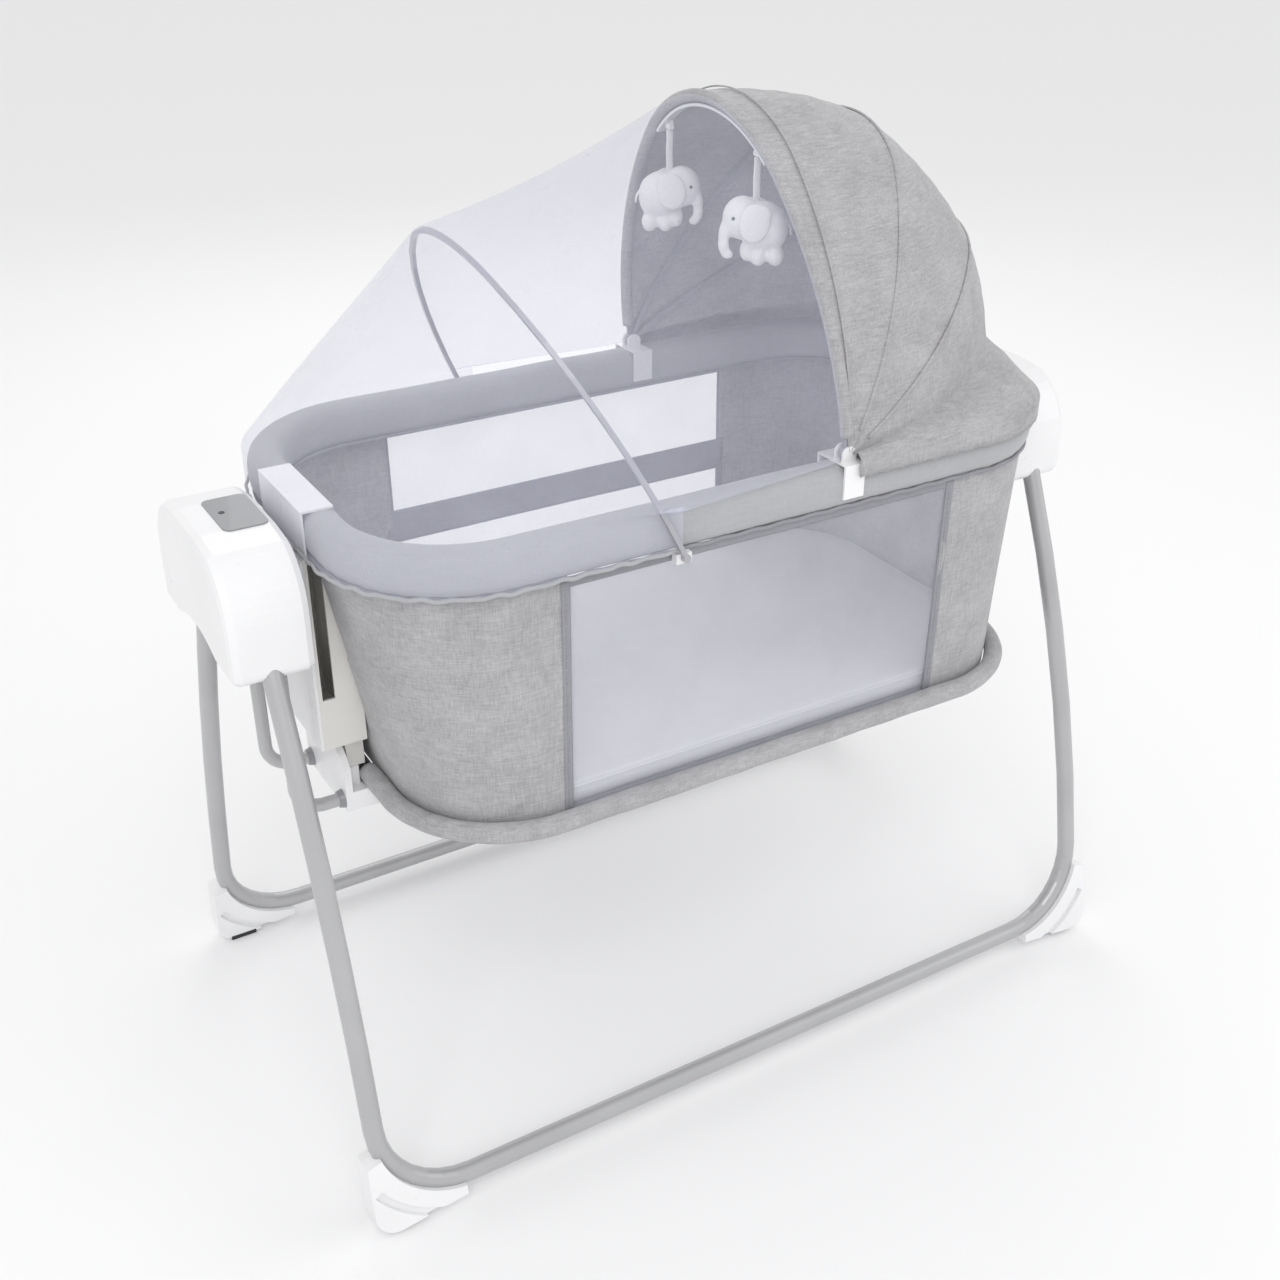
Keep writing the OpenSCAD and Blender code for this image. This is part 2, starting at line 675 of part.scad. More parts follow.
module rim_tube() {
    color(steel) translate([rim_cx, 0, rim_z0 + rim_h / 2]) difference() {
        loop_tube(rim_a, rim_b, -rim_w / 2, rim_tube_d / 2);
        loop_tube(rim_a, rim_b, -rim_w / 2, rim_tube_d / 2 - 1.2);
        tube_seam(rim_a - rim_w / 2);
    }
}

module rim_pad() {
    color(heather) difference() {
        translate([0, 0, rim_z0]) linear_extrude(rim_h) difference() {
            rim_plan(0);
            rim_plan(-rim_w);
        }
        translate([0, 0, rim_z0 - eps]) linear_extrude(rim_h / 2 + rim_tube_d / 2 + 0.2) difference() {
            rim_plan(-rim_w / 2 + rim_tube_d / 2 + 0.6);
            rim_plan(-rim_w / 2 - rim_tube_d / 2 - 0.1);
        }
    }
}

cover_half = 64;

module rim_end_cover() {
    color(white_shell) intersection() {
        translate([-rim_a - 30, -cover_half, rim_z0 - 6]) cube([rim_w + 40, 2 * cover_half, rim_h + 20]);
        union() {
            translate([0, 0, rim_z0 + 2]) linear_extrude(rim_h + 0.4) difference() {
                rim_plan(2.6);
                rim_plan(0.2);
            }
            translate([0, 0, rim_z1 + 0.2]) linear_extrude(2.4) difference() {
                rim_plan(2.6);
                rim_plan(-rim_w + 6);
            }
        }
    }
}

// Fabric walls between the lower ring and the rim
wall_z0 = ring_z - 6;
ring_in = ring_d + 1.7;
rim_in = 6;

module wall_body(in) {
    hull() {
        translate([0, 0, wall_z0]) linear_extrude(eps) ring_plan(-ring_in - in);
        translate([0, 0, rim_z0 - eps]) linear_extrude(eps) rim_plan(-rim_in - in);
    }
}

module wall_shell() {
    difference() {
        wall_body(0);
        wall_body(wall_t);
    }
}

module x_range(x0, x1) {
    translate([x0, -400, wall_z0]) cube([x1 - x0, 800, rim_z0 - wall_z0]);
}

window_cx = 6;
window_x0 = window_cx - window_a;
window_x1 = window_cx + window_a;
trim_w = 10;
post_gap = 3;

module wall_foot() {
    recess_x = -post_x0 + gap;
    color(heather) {
        difference() {
            intersection() {
                wall_shell();
                x_range(-500, window_x0 - trim_w);
            }
            translate([-500, -post_half - post_gap, wall_z0 - 1]) cube([500 + recess_x, 2 * (post_half + post_gap), 400]);
        }
        intersection() {
            wall_body(0);
            union() {
                translate([recess_x, -post_half - post_gap - wall_t, wall_z0]) cube([wall_t, 2 * (post_half + post_gap + wall_t), rim_z0 - wall_z0]);
                for (s = [0, 1]) mirror([0, s, 0]) translate([-500, post_half + post_gap, wall_z0]) cube([500 + recess_x + 1, wall_t, rim_z0 - wall_z0]);
            }
        }
    }
}

module wall_head() {
    color(heather) intersection() {
        wall_shell();
        x_range(window_x1 + trim_w, 500);
    }
}

band_z0 = rim_z0 - 150;
band_z1 = rim_z0 - 108;
top_band = 8;

module side_range(s, x0, x1, z0, z1) {
    translate([x0, s < 0 ? -400 : 0, z0]) cube([x1 - x0, 400, z1 - z0]);
}

module mesh_front() {
    color(mesh_tint) intersection() {
        wall_shell();
        side_range(-1, window_x0, window_x1, wall_z0, rim_z0 - top_band);
    }
}

module mesh_rear() {
    color(mesh_tint) intersection() {
        wall_shell();
        union() {
            side_range(1, window_x0, window_x1, wall_z0, band_z0);
            side_range(1, window_x0, window_x1, band_z1, rim_z0 - top_band);
        }
    }
}

module window_trims() {
    color(heather) intersection() {
        wall_shell();
        union() {
            for (s = [-1, 1]) {
                side_range(s, window_x0 - trim_w, window_x0, wall_z0, rim_z0);
                side_range(s, window_x1, window_x1 + trim_w, wall_z0, rim_z0);
                side_range(s, window_x0 - 1, window_x1 + 1, rim_z0 - top_band, rim_z0);
            }
            side_range(1, window_x0 - 1, window_x1 + 1, band_z0, band_z1);
        }
    }
}

board_t = 5;

module floor_board() {
    color(dark) translate([0, 0, wall_z0]) linear_extrude(board_t) ring_plan(-ring_in - wall_t - 1);
}

module mattress() {
    color("white") translate([0, 0, wall_z0 + board_t]) linear_extrude(mattress_t) ring_plan(-ring_in - wall_t - 9);
}

// Canopy: bows that turn about the two clips, with fabric between them
clip_l = 26;
clip_t = 3;
bow_y = bow_half;
pin_r = 4;
bow_top_r = 160;
bow_root = 48;
bow_t = 4;

// Three-centred arch: side arcs of radius R about (half - R, 0) and a top arc
function arch_side_r(half, rise, top_r) = (half * half + (rise - top_r) * (rise - top_r) - top_r * top_r) / (2 * (half - top_r));
function arch_angle(half, rise, top_r) = atan2(rise - top_r, arch_side_r(half, rise, top_r) - half);
function arch_pts(half, rise, top_r, off, root, n) = let (
    rs = arch_side_r(half, rise, top_r), ang = arch_angle(half, rise, top_r)
) concat(
    arc_pts([half - rs, 0], rs + off, asin(root / (rs + off)), ang, n),
    arc_pts([0, rise - top_r], top_r + off, ang + (90 - ang) / n, 90, n)
);

// Strip bent to the arch, drawn in the XY plane with its feet cut off at a root height
module arch_strip(half, rise, top_r, root, w, t) {
    translate([0, 0, -t / 2]) linear_extrude(t) difference() {
        polygon(mirrored(arch_pts(half, rise, top_r, w / 2, root, 8)));
        polygon(mirrored(arch_pts(half, rise, top_r, -w / 2, root, 8)));
    }
}

// Stands an arch drawn in the XY plane across the bassinet, tilted up from +X by an angle
module stand_arch(x, z, angle) {
    translate([x, 0, z]) rotate([0, -angle, 0]) rotate([0, 0, -90]) children();
}

low_tilt = bow_tilt / 3;
mid_tilt = 2 * bow_tilt / 3;
lug_t = 2.4;

// The lugs of the three bows sit side by side on the clips' pins
module bow(angle, slot) {
    lug_y = bow_y - (2 - slot) * (lug_t + 0.4) - lug_t / 2;
    color(grey_paint) {
        stand_arch(clip_x, canopy_z, angle) arch_strip(bow_y, bow_r, bow_top_r, bow_root - 3, bow_d, bow_t);
        for (s = [0, 1]) mirror([0, s, 0]) difference() {
            union() {
                translate([clip_x, lug_y, canopy_z]) rotate([-90, 0, 0]) cylinder(h = lug_t, r = 6.8);
                translate([clip_x, lug_y, canopy_z]) rotate([0, -angle, 0])
                    translate([0, 0, -2.5]) cube([bow_root + 1, lug_t, 5]);
            }
            translate([clip_x, bow_y - 10, canopy_z]) rotate([-90, 0, 0]) cylinder(h = 20, r = pin_r + run);
        }
    }
}

module bow_low() { bow(low_tilt, 0); }
module bow_mid() { bow(mid_tilt, 1); }
module bow_front() { bow(bow_tilt, 2); }

module canopy_clips() {
    y0 = rim_b - rim_w;
    color(white_shell) for (s = [0, 1]) mirror([0, s, 0]) difference() {
        union() {
            translate([clip_x - clip_l / 2, y0 - 8, rim_z0 + 12]) cube([clip_l, clip_t, rim_z1 + 2 - rim_z0 - 12]);
            translate([clip_x - clip_l / 2, rim_b + 0.5, rim_z0 + 12]) cube([clip_l, clip_t, rim_z1 + 2 - rim_z0 - 12]);
            translate([clip_x - clip_l / 2, y0 - 8, rim_z1 + 0.3]) cube([clip_l, rim_w + 8.5 + clip_t, 1.6]);
            translate([clip_x, bow_y - 11, canopy_z]) rotate([-90, 0, 0]) cylinder(h = 15.8, r = pin_r);
            for (y = [bow_y - 10.5, bow_y + 2.6]) translate([clip_x, y, canopy_z]) {
                rotate([-90, 0, 0]) cylinder(h = 2.5, r = 9);
                translate([-9, 0, rim_z1 + 0.3 - canopy_z]) cube([18, 2.5, canopy_z - rim_z1]);
            }
        }
    }
}

skin_in = bow_d / 2 + 0.7;

// Fabric as a shell turned about the pivots' axis
module gore(a0, a1) {
    outer = arch_pts(bow_y, bow_r, bow_top_r, skin_in + canopy_t, 11, 8);
    inner = arch_pts(bow_y, bow_r, bow_top_r, skin_in, 11, 8);
    right = concat(outer, [for (i = [len(inner) - 1:-1:0]) inner[i]]);
    for (s = [0, 1]) mirror([0, s, 0])
        translate([clip_x, 0, canopy_z]) rotate([-90, 0, 0]) rotate([0, 0, -a1])
        rotate_extrude(angle = a1 - a0, $fn = 120) polygon([for (p = right) [p.y, p.x]]);
}

module canopy_front() { color(heather) gore(mid_tilt, bow_tilt + 0.6); }
module canopy_middle() { color(heather) gore(low_tilt, mid_tilt - 0.05); }

skirt_drop = 22;

module canopy_base() {
    color(heather) {
        gore(3, low_tilt - 0.05);
        translate([0, 0, canopy_z - skirt_drop]) linear_extrude(skirt_drop + 6) difference() {
            rim_plan(7 + canopy_t);
            rim_plan(7);
            translate([-600, -400]) square([600 + clip_x + 26, 800]);
        }
    }
}

// Toy bar inside the front bow, and the two hanging toys
bar_w = 12;
bar_t = 3;
bar_in = bow_d / 2 + 3.5;

module toy_bar() {
    ang = arch_angle(bow_y, bow_r, bow_top_r);
    color(white_shell) {
        stand_arch(clip_x, canopy_z, bow_tilt) {
            translate([0, bow_r - bow_top_r, 0]) rotate([0, 0, ang + 4]) rotate_extrude(angle = 172 - 2 * ang, $fn = 180)
                translate([bow_top_r - bar_in - bar_t, -bar_w / 2]) square([bar_t, bar_w]);
            for (s = [0, 1]) mirror([s, 0, 0]) translate([0, bow_r - bow_top_r, 0]) rotate([0, 0, ang + 5])
                translate([bow_top_r - bar_in - eps, 0, -3]) cube([3.4, 8, 6]);
        }
        for (s = [-1, 1]) translate([hang_x, s * toy_y, hang_z]) {
            translate([0, -4.4, 0]) rotate([-90, 0, 0]) cylinder(h = 8.8, r = 1.5);
            for (k = [-1, 1]) translate([-2, k * 3.6 - 0.9, -1.8]) cube([4, 1.8, 9]);
        }
    }
}

bar_r = bow_top_r - bar_in - bar_t;
hang_drop = 7;
hang_rise = bow_r - bow_top_r + sqrt(bar_r * bar_r - toy_y * toy_y) - hang_drop;
hang_x = clip_x + hang_rise * cos(bow_tilt);
hang_z = canopy_z + hang_rise * sin(bow_tilt);
strap_l = 34;

module toy(flip) {
    toy_z = hang_z - strap_l - toy_r;
    color("white") translate([hang_x, 0, 0]) {
        difference() {
            union() {
                translate([-4.5, -1.2, toy_z + toy_r - 6]) cube([9, 2.4, strap_l + 6]);
                translate([0, -1.2, hang_z]) rotate([-90, 0, 0]) cylinder(h = 2.4, r = 4.5);
            }
            translate([0, -3, hang_z]) rotate([-90, 0, 0]) cylinder(h = 6, r = 1.5 + run);
        }
        translate([0, 0, toy_z]) intersection() {
            sphere(r = toy_r);
            translate([-toy_r * 0.55, -toy_r, -toy_r]) cube([toy_r * 1.1, 2 * toy_r, 2 * toy_r]);
        }
        translate([0, flip * toy_r * 0.45, toy_z - toy_r + 1]) cylinder(h = toy_r * 0.5, r = toy_r * 0.3, center = true);
        translate([0, -flip * toy_r * 0.4, toy_z - toy_r + 1]) cylinder(h = toy_r * 0.5, r = toy_r * 0.3, center = true);
    }
}

module toy_front() { translate([0, -toy_y, 0]) toy(1); }
module toy_rear() { translate([0, toy_y, 0]) toy(-1); }

// Net hoop and net
hoop_y = rim_b + hoop_d / 2 + 7;
hoop_top_r = 165;

module hoop_clips() {
    color(white_shell) for (s = [0, 1]) mirror([0, s, 0]) difference() {
        translate([-hoop_x - 9, rim_b - 4, hoop_z - 7]) cube([18, hoop_y - hoop_d / 2 - 1.5 - rim_b + 4, 10.8]);
        translate([-hoop_x, rim_b - 5, hoop_z]) rotate([-90, 0, 0]) cylinder(h = 20, r = 2.5);
    }
}

module net_hoop() {
    color(grey_paint) {
        stand_arch(-hoop_x, hoop_z, 90 + hoop_lean) arch_strip(hoop_y, hoop_h, hoop_top_r, 3, hoop_d, hoop_d);
        for (s = [0, 1]) mirror([0, s, 0]) translate([-hoop_x, rim_b - 3, hoop_z]) rotate([-90, 0, 0]) {
            cylinder(h = hoop_y - rim_b + 3, r = 2.44);
            translate([0, 0, hoop_y - hoop_d / 2 - 1 - rim_b + 3]) cylinder(h = hoop_d + 1, r = 4.5);
        }
    }
}

net_t = 1.2;
net_clear = 3;

// Fan of arches and the rim's foot half, spanned by the net
module net_body(grow) {
    hull() {
        stand_arch(clip_x, canopy_z, bow_tilt + 3) linear_extrude(eps)
            polygon(mirrored(arch_pts(bow_y, bow_r, bow_top_r, bow_d / 2 + 2 + grow, 0, 6)));
        stand_arch(-hoop_x, hoop_z, 90 + hoop_lean) linear_extrude(eps)
            polygon(mirrored(arch_pts(hoop_y, hoop_h, hoop_top_r, hoop_d / 2 + net_clear + grow, 0, 6)));
        translate([0, 0, rim_z0 + 6]) linear_extrude(rim_h - 12) intersection() {
            rim_plan(hoop_d + 5 + grow);
            translate([-600, -400]) square([600 + clip_x - 40, 800]);
        }
    }
}

module net() {
    color(mesh_tint) difference() {
        net_body(net_t);
        net_body(0);
        translate([-600, -400, rim_z0 - 50]) cube([1200, 800, 56.5]);
        translate([clip_x - 42, -400, rim_z0 - 50]) cube([200, 800, rim_h + 52.5]);
        stand_arch(clip_x, canopy_z, bow_tilt + 3) translate([-400, -300, -60 + 0.5]) cube([800, 900, 60]);
    }
}

leg_front_left();
leg_front_right();
leg_rear_left();
leg_rear_right();
foot_front_left();
foot_front_right();
foot_rear_left();
foot_rear_right();
foot_pads();
hub_left_cover();
hub_left_housing();
hub_right_cover();
hub_right_housing();
control_panel();
ir_window();
control_board();
drive_coil();
power_inlet();
hub_screws();
axles();
bearings();
arm_block_left();
arm_block_right();
drive_magnet();
arm_left_front();
arm_left_rear();
arm_right_front();
arm_right_rear();
arm_collars();
end_bracket_left();
end_bracket_right();
end_post_left();
end_post_right();
post_cover();
ring_tube();
ring_sleeve();
rim_tube();
rim_pad();
rim_end_cover();
wall_foot();
wall_head();
mesh_front();
mesh_rear();
window_trims();
floor_board();
mattress();
canopy_clips();
bow_low();
bow_mid();
bow_front();
canopy_base();
canopy_middle();
canopy_front();
toy_bar();
toy_front();
toy_rear();
hoop_clips();
net_hoop();
net();
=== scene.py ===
import json
import math

import bmesh
import bpy
import numpy as np
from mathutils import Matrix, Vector


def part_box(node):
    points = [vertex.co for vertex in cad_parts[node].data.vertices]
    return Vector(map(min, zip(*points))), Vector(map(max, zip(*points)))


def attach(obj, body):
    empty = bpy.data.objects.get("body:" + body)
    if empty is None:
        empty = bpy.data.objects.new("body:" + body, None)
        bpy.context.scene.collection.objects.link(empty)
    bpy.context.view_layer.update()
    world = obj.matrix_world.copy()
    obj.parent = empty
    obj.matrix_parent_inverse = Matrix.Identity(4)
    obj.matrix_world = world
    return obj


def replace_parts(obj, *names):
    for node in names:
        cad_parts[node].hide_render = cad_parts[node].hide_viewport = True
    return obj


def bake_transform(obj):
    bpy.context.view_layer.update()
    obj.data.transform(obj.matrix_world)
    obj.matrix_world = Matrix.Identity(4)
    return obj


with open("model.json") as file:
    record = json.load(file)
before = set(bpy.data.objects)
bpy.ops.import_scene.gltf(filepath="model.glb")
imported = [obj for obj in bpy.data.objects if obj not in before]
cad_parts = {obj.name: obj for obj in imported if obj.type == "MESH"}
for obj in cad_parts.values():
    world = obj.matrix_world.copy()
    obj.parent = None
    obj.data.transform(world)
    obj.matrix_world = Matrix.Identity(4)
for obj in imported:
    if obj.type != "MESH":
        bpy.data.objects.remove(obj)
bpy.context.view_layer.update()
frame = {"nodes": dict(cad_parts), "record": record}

NODES = frame["nodes"]
MM = 0.001


def corner(node):
    lo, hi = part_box(node)
    return np.array(lo), np.array(hi)


# ---------------------------------------------------------------- camera
cam_data = bpy.data.cameras.new("camera")
cam_data.lens = 42.53
cam_data.sensor_width = 36.0
cam = bpy.data.objects.new("camera", cam_data)
cam.location = (-0.8442, -1.3975, 1.3570)
cam.rotation_euler = (math.pi / 2 - 0.5052, 0.0, -0.5357)
bpy.context.collection.objects.link(cam)
bpy.context.scene.camera = cam


# ---------------------------------------------------------------- materials
def new_material(name):
    mat = bpy.data.materials.new(name)
    mat.use_nodes = True
    nt = mat.node_tree
    bsdf = nt.nodes["Principled BSDF"]
    return mat, nt, bsdf


def noise(nt, scale, detail=2.0, stretch=(1, 1, 1), rough=0.5):
    co = nt.nodes.new("ShaderNodeTexCoord")
    mp = nt.nodes.new("ShaderNodeMapping")
    mp.inputs["Scale"].default_value = stretch
    tx = nt.nodes.new("ShaderNodeTexNoise")
    tx.inputs["Scale"].default_value = scale
    tx.inputs["Detail"].default_value = detail
    tx.inputs["Roughness"].default_value = rough
    nt.links.new(co.outputs["Object"], mp.inputs["Vector"])
    nt.links.new(mp.outputs["Vector"], tx.inputs["Vector"])
    return tx.outputs["Fac"]


def maths(nt, op, a, b=None, clamp=False):
    n = nt.nodes.new("ShaderNodeMath")
    n.operation = op
    n.use_clamp = clamp
    for i, v in enumerate((a, b)):
        if v is None:
            continue
        if isinstance(v, (int, float)):
            n.inputs[i].default_value = v
        else:
            nt.links.new(v, n.inputs[i])
    return n.outputs[0]


def ramp(nt, fac, stops):
    r = nt.nodes.new("ShaderNodeValToRGB")
    e = r.color_ramp.elements
    while len(e) < len(stops):
        e.new(0.5)
    for el, (pos, col) in zip(e, stops):
        el.position = pos
        el.color = (*col, 1.0)
    nt.links.new(fac, r.inputs["Fac"])
    return r.outputs["Color"]


def bump(nt, bsdf, height, strength, distance):
    b = nt.nodes.new("ShaderNodeBump")
    b.inputs["Strength"].default_value = strength
    b.inputs["Distance"].default_value = distance
    nt.links.new(height, b.inputs["Height"])
    nt.links.new(b.outputs["Normal"], bsdf.inputs["Normal"])


def shade(c, k):
    return tuple(min(1.0, v * k) for v in c)


def linen(name, col, contrast=0.16, strength=0.35, sheen=0.25, blotch=0.05):
    """Woven melange cloth: slubbed threads both ways, with a mottled dye."""
    mat, nt, bsdf = new_material(name)
    warp = noise(nt, 1.0, 4.0, (620, 620, 60), 0.75)
    weft = noise(nt, 1.0, 4.0, (60, 60, 620), 0.75)
    mottle = noise(nt, 22.0, 3.0)
    threads = maths(nt, "ADD", maths(nt, "MULTIPLY", warp, 0.5), maths(nt, "MULTIPLY", weft, 0.5))
    dye = maths(nt, "MULTIPLY", maths(nt, "SUBTRACT", mottle, 0.5), blotch * 4)
    mixed = maths(nt, "ADD", threads, dye)
    stops = [(0.36, shade(col, 1 - contrast)), (0.50, col), (0.64, shade(col, 1 + contrast))]
    colour = ramp(nt, mixed, stops)
    nt.links.new(colour, bsdf.inputs["Base Color"])
    bsdf.inputs["Roughness"].default_value = 0.92
    bsdf.inputs["Sheen Weight"].default_value = sheen
    bsdf.inputs["Sheen Roughness"].default_value = 0.5
    bsdf.inputs["Specular IOR Level"].default_value = 0.2
    bump(nt, bsdf, threads, strength, 0.0012)
    return mat


def moulded(name, col, rough=0.35, coat=0.0, grain=0.05):
    """Moulded plastic with a fine texture and slightly uneven gloss."""
    mat, nt, bsdf = new_material(name)
    low = noise(nt, 9.0, 2.0)
    colour = ramp(nt, low, [(0.3, shade(col, 0.97)), (0.7, shade(col, 1.02))])
    nt.links.new(colour, bsdf.inputs["Base Color"])
    r = maths(nt, "ADD", maths(nt, "MULTIPLY", noise(nt, 40.0, 3.0), 0.12), rough - 0.06)
    nt.links.new(r, bsdf.inputs["Roughness"])
    bsdf.inputs["Coat Weight"].default_value = coat
    bsdf.inputs["Specular IOR Level"].default_value = 0.45
    bump(nt, bsdf, noise(nt, 2200.0, 1.0), grain, 0.0003)
    return mat


def painted(name, col):
    """Powder-coated steel tube: faint orange peel under a satin sheen."""
    mat, nt, bsdf = new_material(name)
    colour = ramp(nt, noise(nt, 12.0, 2.0), [(0.3, shade(col, 0.96)), (0.7, shade(col, 1.03))])
    nt.links.new(colour, bsdf.inputs["Base Color"])
    bsdf.inputs["Metallic"].default_value = 0.35
    r = maths(nt, "ADD", maths(nt, "MULTIPLY", noise(nt, 60.0, 2.0), 0.10), 0.27)
    nt.links.new(r, bsdf.inputs["Roughness"])
    bsdf.inputs["Coat Weight"].default_value = 0.15
    bump(nt, bsdf, noise(nt, 900.0, 2.0), 0.06, 0.0004)
    return mat


def metal(name, col, rough=0.3):
    mat, nt, bsdf = new_material(name)
    r = maths(nt, "ADD", maths(nt, "MULTIPLY", noise(nt, 1.0, 2.0, (40, 900, 900)), 0.2), rough - 0.1)
    nt.links.new(r, bsdf.inputs["Roughness"])
    colour = ramp(nt, noise(nt, 30.0), [(0.3, shade(col, 0.93)), (0.7, col)])
    nt.links.new(colour, bsdf.inputs["Base Color"])
    bsdf.inputs["Metallic"].default_value = 1.0
    return mat


def sheer(name, col, opacity, cell, depth=0.35):
    """Knitted net: small open cells, seen as a light veil."""
    mat, nt, bsdf = new_material(name)
    co = nt.nodes.new("ShaderNodeTexCoord")
    vor = nt.nodes.new("ShaderNodeTexVoronoi")
    vor.feature = "DISTANCE_TO_EDGE"
    vor.inputs["Scale"].default_value = 1.0 / cell
    nt.links.new(co.outputs["Object"], vor.inputs["Vector"])
    thread = maths(nt, "SUBTRACT", 1.0, maths(nt, "MULTIPLY", vor.outputs["Distance"], 4.0, True), True)
    fold = maths(nt, "MULTIPLY", maths(nt, "SUBTRACT", noise(nt, 14.0, 2.0), 0.5), 0.10)
    threads = maths(nt, "MULTIPLY", thread, depth * opacity)
    veil = maths(nt, "ADD", threads, opacity * (1 - depth * 0.5))
    alpha = maths(nt, "ADD", veil, fold, True)
    nt.links.new(alpha, bsdf.inputs["Alpha"])
    nt.links.new(ramp(nt, thread, [(0.2, shade(col, 0.96)), (0.8, col)]), bsdf.inputs["Base Color"])
    bsdf.inputs["Roughness"].default_value = 0.9
    bsdf.inputs["Sheen Weight"].default_value = 0.2
    mat.surface_render_method = "BLENDED"
    return mat


def plush(name, col):
    mat, nt, bsdf = new_material(name)
    pile = noise(nt, 1.0, 3.0, (900, 900, 900), 0.7)
    colour = ramp(nt, pile, [(0.35, shade(col, 0.95)), (0.65, col)])
    nt.links.new(colour, bsdf.inputs["Base Color"])
    bsdf.inputs["Roughness"].default_value = 0.95
    bsdf.inputs["Sheen Weight"].default_value = 0.5
    bump(nt, bsdf, pile, 0.12, 0.0008)
    return mat


GREY = (0.405, 0.40, 0.412)
M_CLOTH = linen("heather_cloth", GREY, 0.24, 0.45, 0.2, 0.06)
M_CLOTH_DARK = linen("lining_cloth", (0.33, 0.335, 0.36), 0.10, 0.25, 0.15)
M_RIM = linen("rim_cloth", (0.42, 0.425, 0.44), 0.07, 0.2, 0.3, 0.03)
M_TRIM = linen("trim_tape", (0.30, 0.305, 0.33), 0.08, 0.3, 0.1)
M_SHEET = linen("mattress_cloth", (0.80, 0.805, 0.83), 0.04, 0.15, 0.3, 0.02)
M_MESH = sheer("window_mesh", (0.80, 0.81, 0.90), 0.21, 0.0016, 0.2)
M_NET = sheer("veil_net", (0.76, 0.77, 0.93), 0.25, 0.0026, 0.18)
M_TUBE = painted("grey_powder_coat", (0.47, 0.47, 0.48))
M_HOOP = painted("hoop_powder_coat", (0.42, 0.42, 0.45))
M_WHITE = moulded("white_abs", (0.86, 0.86, 0.87), 0.30, 0.25)
# Painted shade: this cream plastic is the white plastic made darker, standing in for the shade on the end
# post's front faces
M_WHITE_PAINTED_SHADE = moulded("white_abs_painted_shade", (0.76, 0.75, 0.72), 0.38, 0.1)
M_PANEL = moulded("panel_grey", (0.28, 0.285, 0.30), 0.36, 0.2)
M_BOW = moulded("bow_grey", (0.35, 0.35, 0.37), 0.5)
M_BLACK = moulded("black_abs", (0.02, 0.02, 0.022), 0.4)
M_RUBBER = moulded("rubber", (0.035, 0.035, 0.037), 0.8, 0.0, 0.3)
M_STEEL = metal("steel", (0.62, 0.62, 0.64))
M_COPPER = metal("copper", (0.75, 0.40, 0.22))
M_BOARD = moulded("circuit_board", (0.02, 0.16, 0.07), 0.45, 0.3)
M_PLUSH = plush("plush_white", (0.88, 0.88, 0.89))

BY_SLOT = {
    "tube_paint": M_TUBE, "white_plastic": M_WHITE, "cream_plastic": M_WHITE_PAINTED_SHADE, "grey_plastic": M_PANEL,
    "dark_plastic": M_BLACK, "rubber": M_RUBBER, "steel": M_STEEL, "copper": M_COPPER, "board": M_BOARD,
    "fabric": M_CLOTH, "mesh": M_MESH, "net": M_NET, "white_fabric": M_SHEET,
}
for part in frame["record"]["subparts"]:
    ob = NODES[part["node"]]
    ob.data.materials.clear()
    ob.data.materials.append(BY_SLOT[part["material_slot"]])
for n in ("bow_low", "bow_mid", "bow_front"):
    NODES[n].data.materials[0] = M_BOW
NODES["net_hoop"].data.materials[0] = M_HOOP
NODES["floor_board"].data.materials[0] = M_CLOTH_DARK


# ---------------------------------------------------------------- mesh helpers
def make(name, verts, faces, mat, body):
    """A smooth mesh object that rides on a body, or on none yet."""
    me = bpy.data.meshes.new(name)
    me.from_pydata([tuple(map(float, v)) for v in verts], [], faces)
    me.update()
    ob = bpy.data.objects.new(name, me)
    bpy.context.collection.objects.link(ob)
    me.materials.append(mat)
    bm = bmesh.new()
    bm.from_mesh(me)
    bmesh.ops.remove_doubles(bm, verts=bm.verts, dist=1e-6)
    bmesh.ops.recalc_face_normals(bm, faces=bm.faces)
    bm.to_mesh(me)
    bm.free()
    for p in me.polygons:
        p.use_smooth = True
    if body:
        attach(ob, body)
    return ob


def grid_faces(nu, nv, wrap_u=False, wrap_v=False):
    out = []
    for i in range(nu if wrap_u else nu - 1):
        for j in range(nv if wrap_v else nv - 1):
            a, b = i * nv + j, i * nv + (j + 1) % nv
            c, d = ((i + 1) % nu) * nv + (j + 1) % nv, ((i + 1) % nu) * nv + j
            out.append((a, b, c, d))
    return out


def modify(ob, kind, **kw):
    m = ob.modifiers.new(kind.lower(), kind)
    for k, v in kw.items():
        setattr(m, k, v)


def apply_all(ob):
    """Turns an object's modifiers into plain mesh."""
    dg = bpy.context.evaluated_depsgraph_get()
    me = bpy.data.meshes.new_from_object(ob.evaluated_get(dg))
    ob.modifiers.clear()
    ob.data = me
    for p in me.polygons:
        p.use_smooth = True


def wall_sheet(name, P, mat, thick):
    """A sheet stretched between the rim and the lower ring, from its grid of points."""
    ob = make(name, P.reshape(-1, 3), grid_faces(*P.shape[:2]), mat, None)
    modify(ob, "SOLIDIFY", thickness=thick, offset=0.0, use_even_offset=False)
    apply_all(ob)
    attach(ob, "cradle")
    return ob


def smooth_noise(p, seed=0, scale=1.0):
    """Sum of a few fixed waves in space, between about -1 and 1."""
    p = np.asarray(p) * scale
    rng = np.random.default_rng(seed)
    out = np.zeros(p.shape[:-1])
    for k in range(6):
        d = rng.normal(size=3)
        d /= np.linalg.norm(d)
        f = 1.0 + 0.7 * k
        out += np.sin(p @ d * f + rng.uniform(0, 6.28)) / (1 + 0.5 * k)
    return out / 2.6


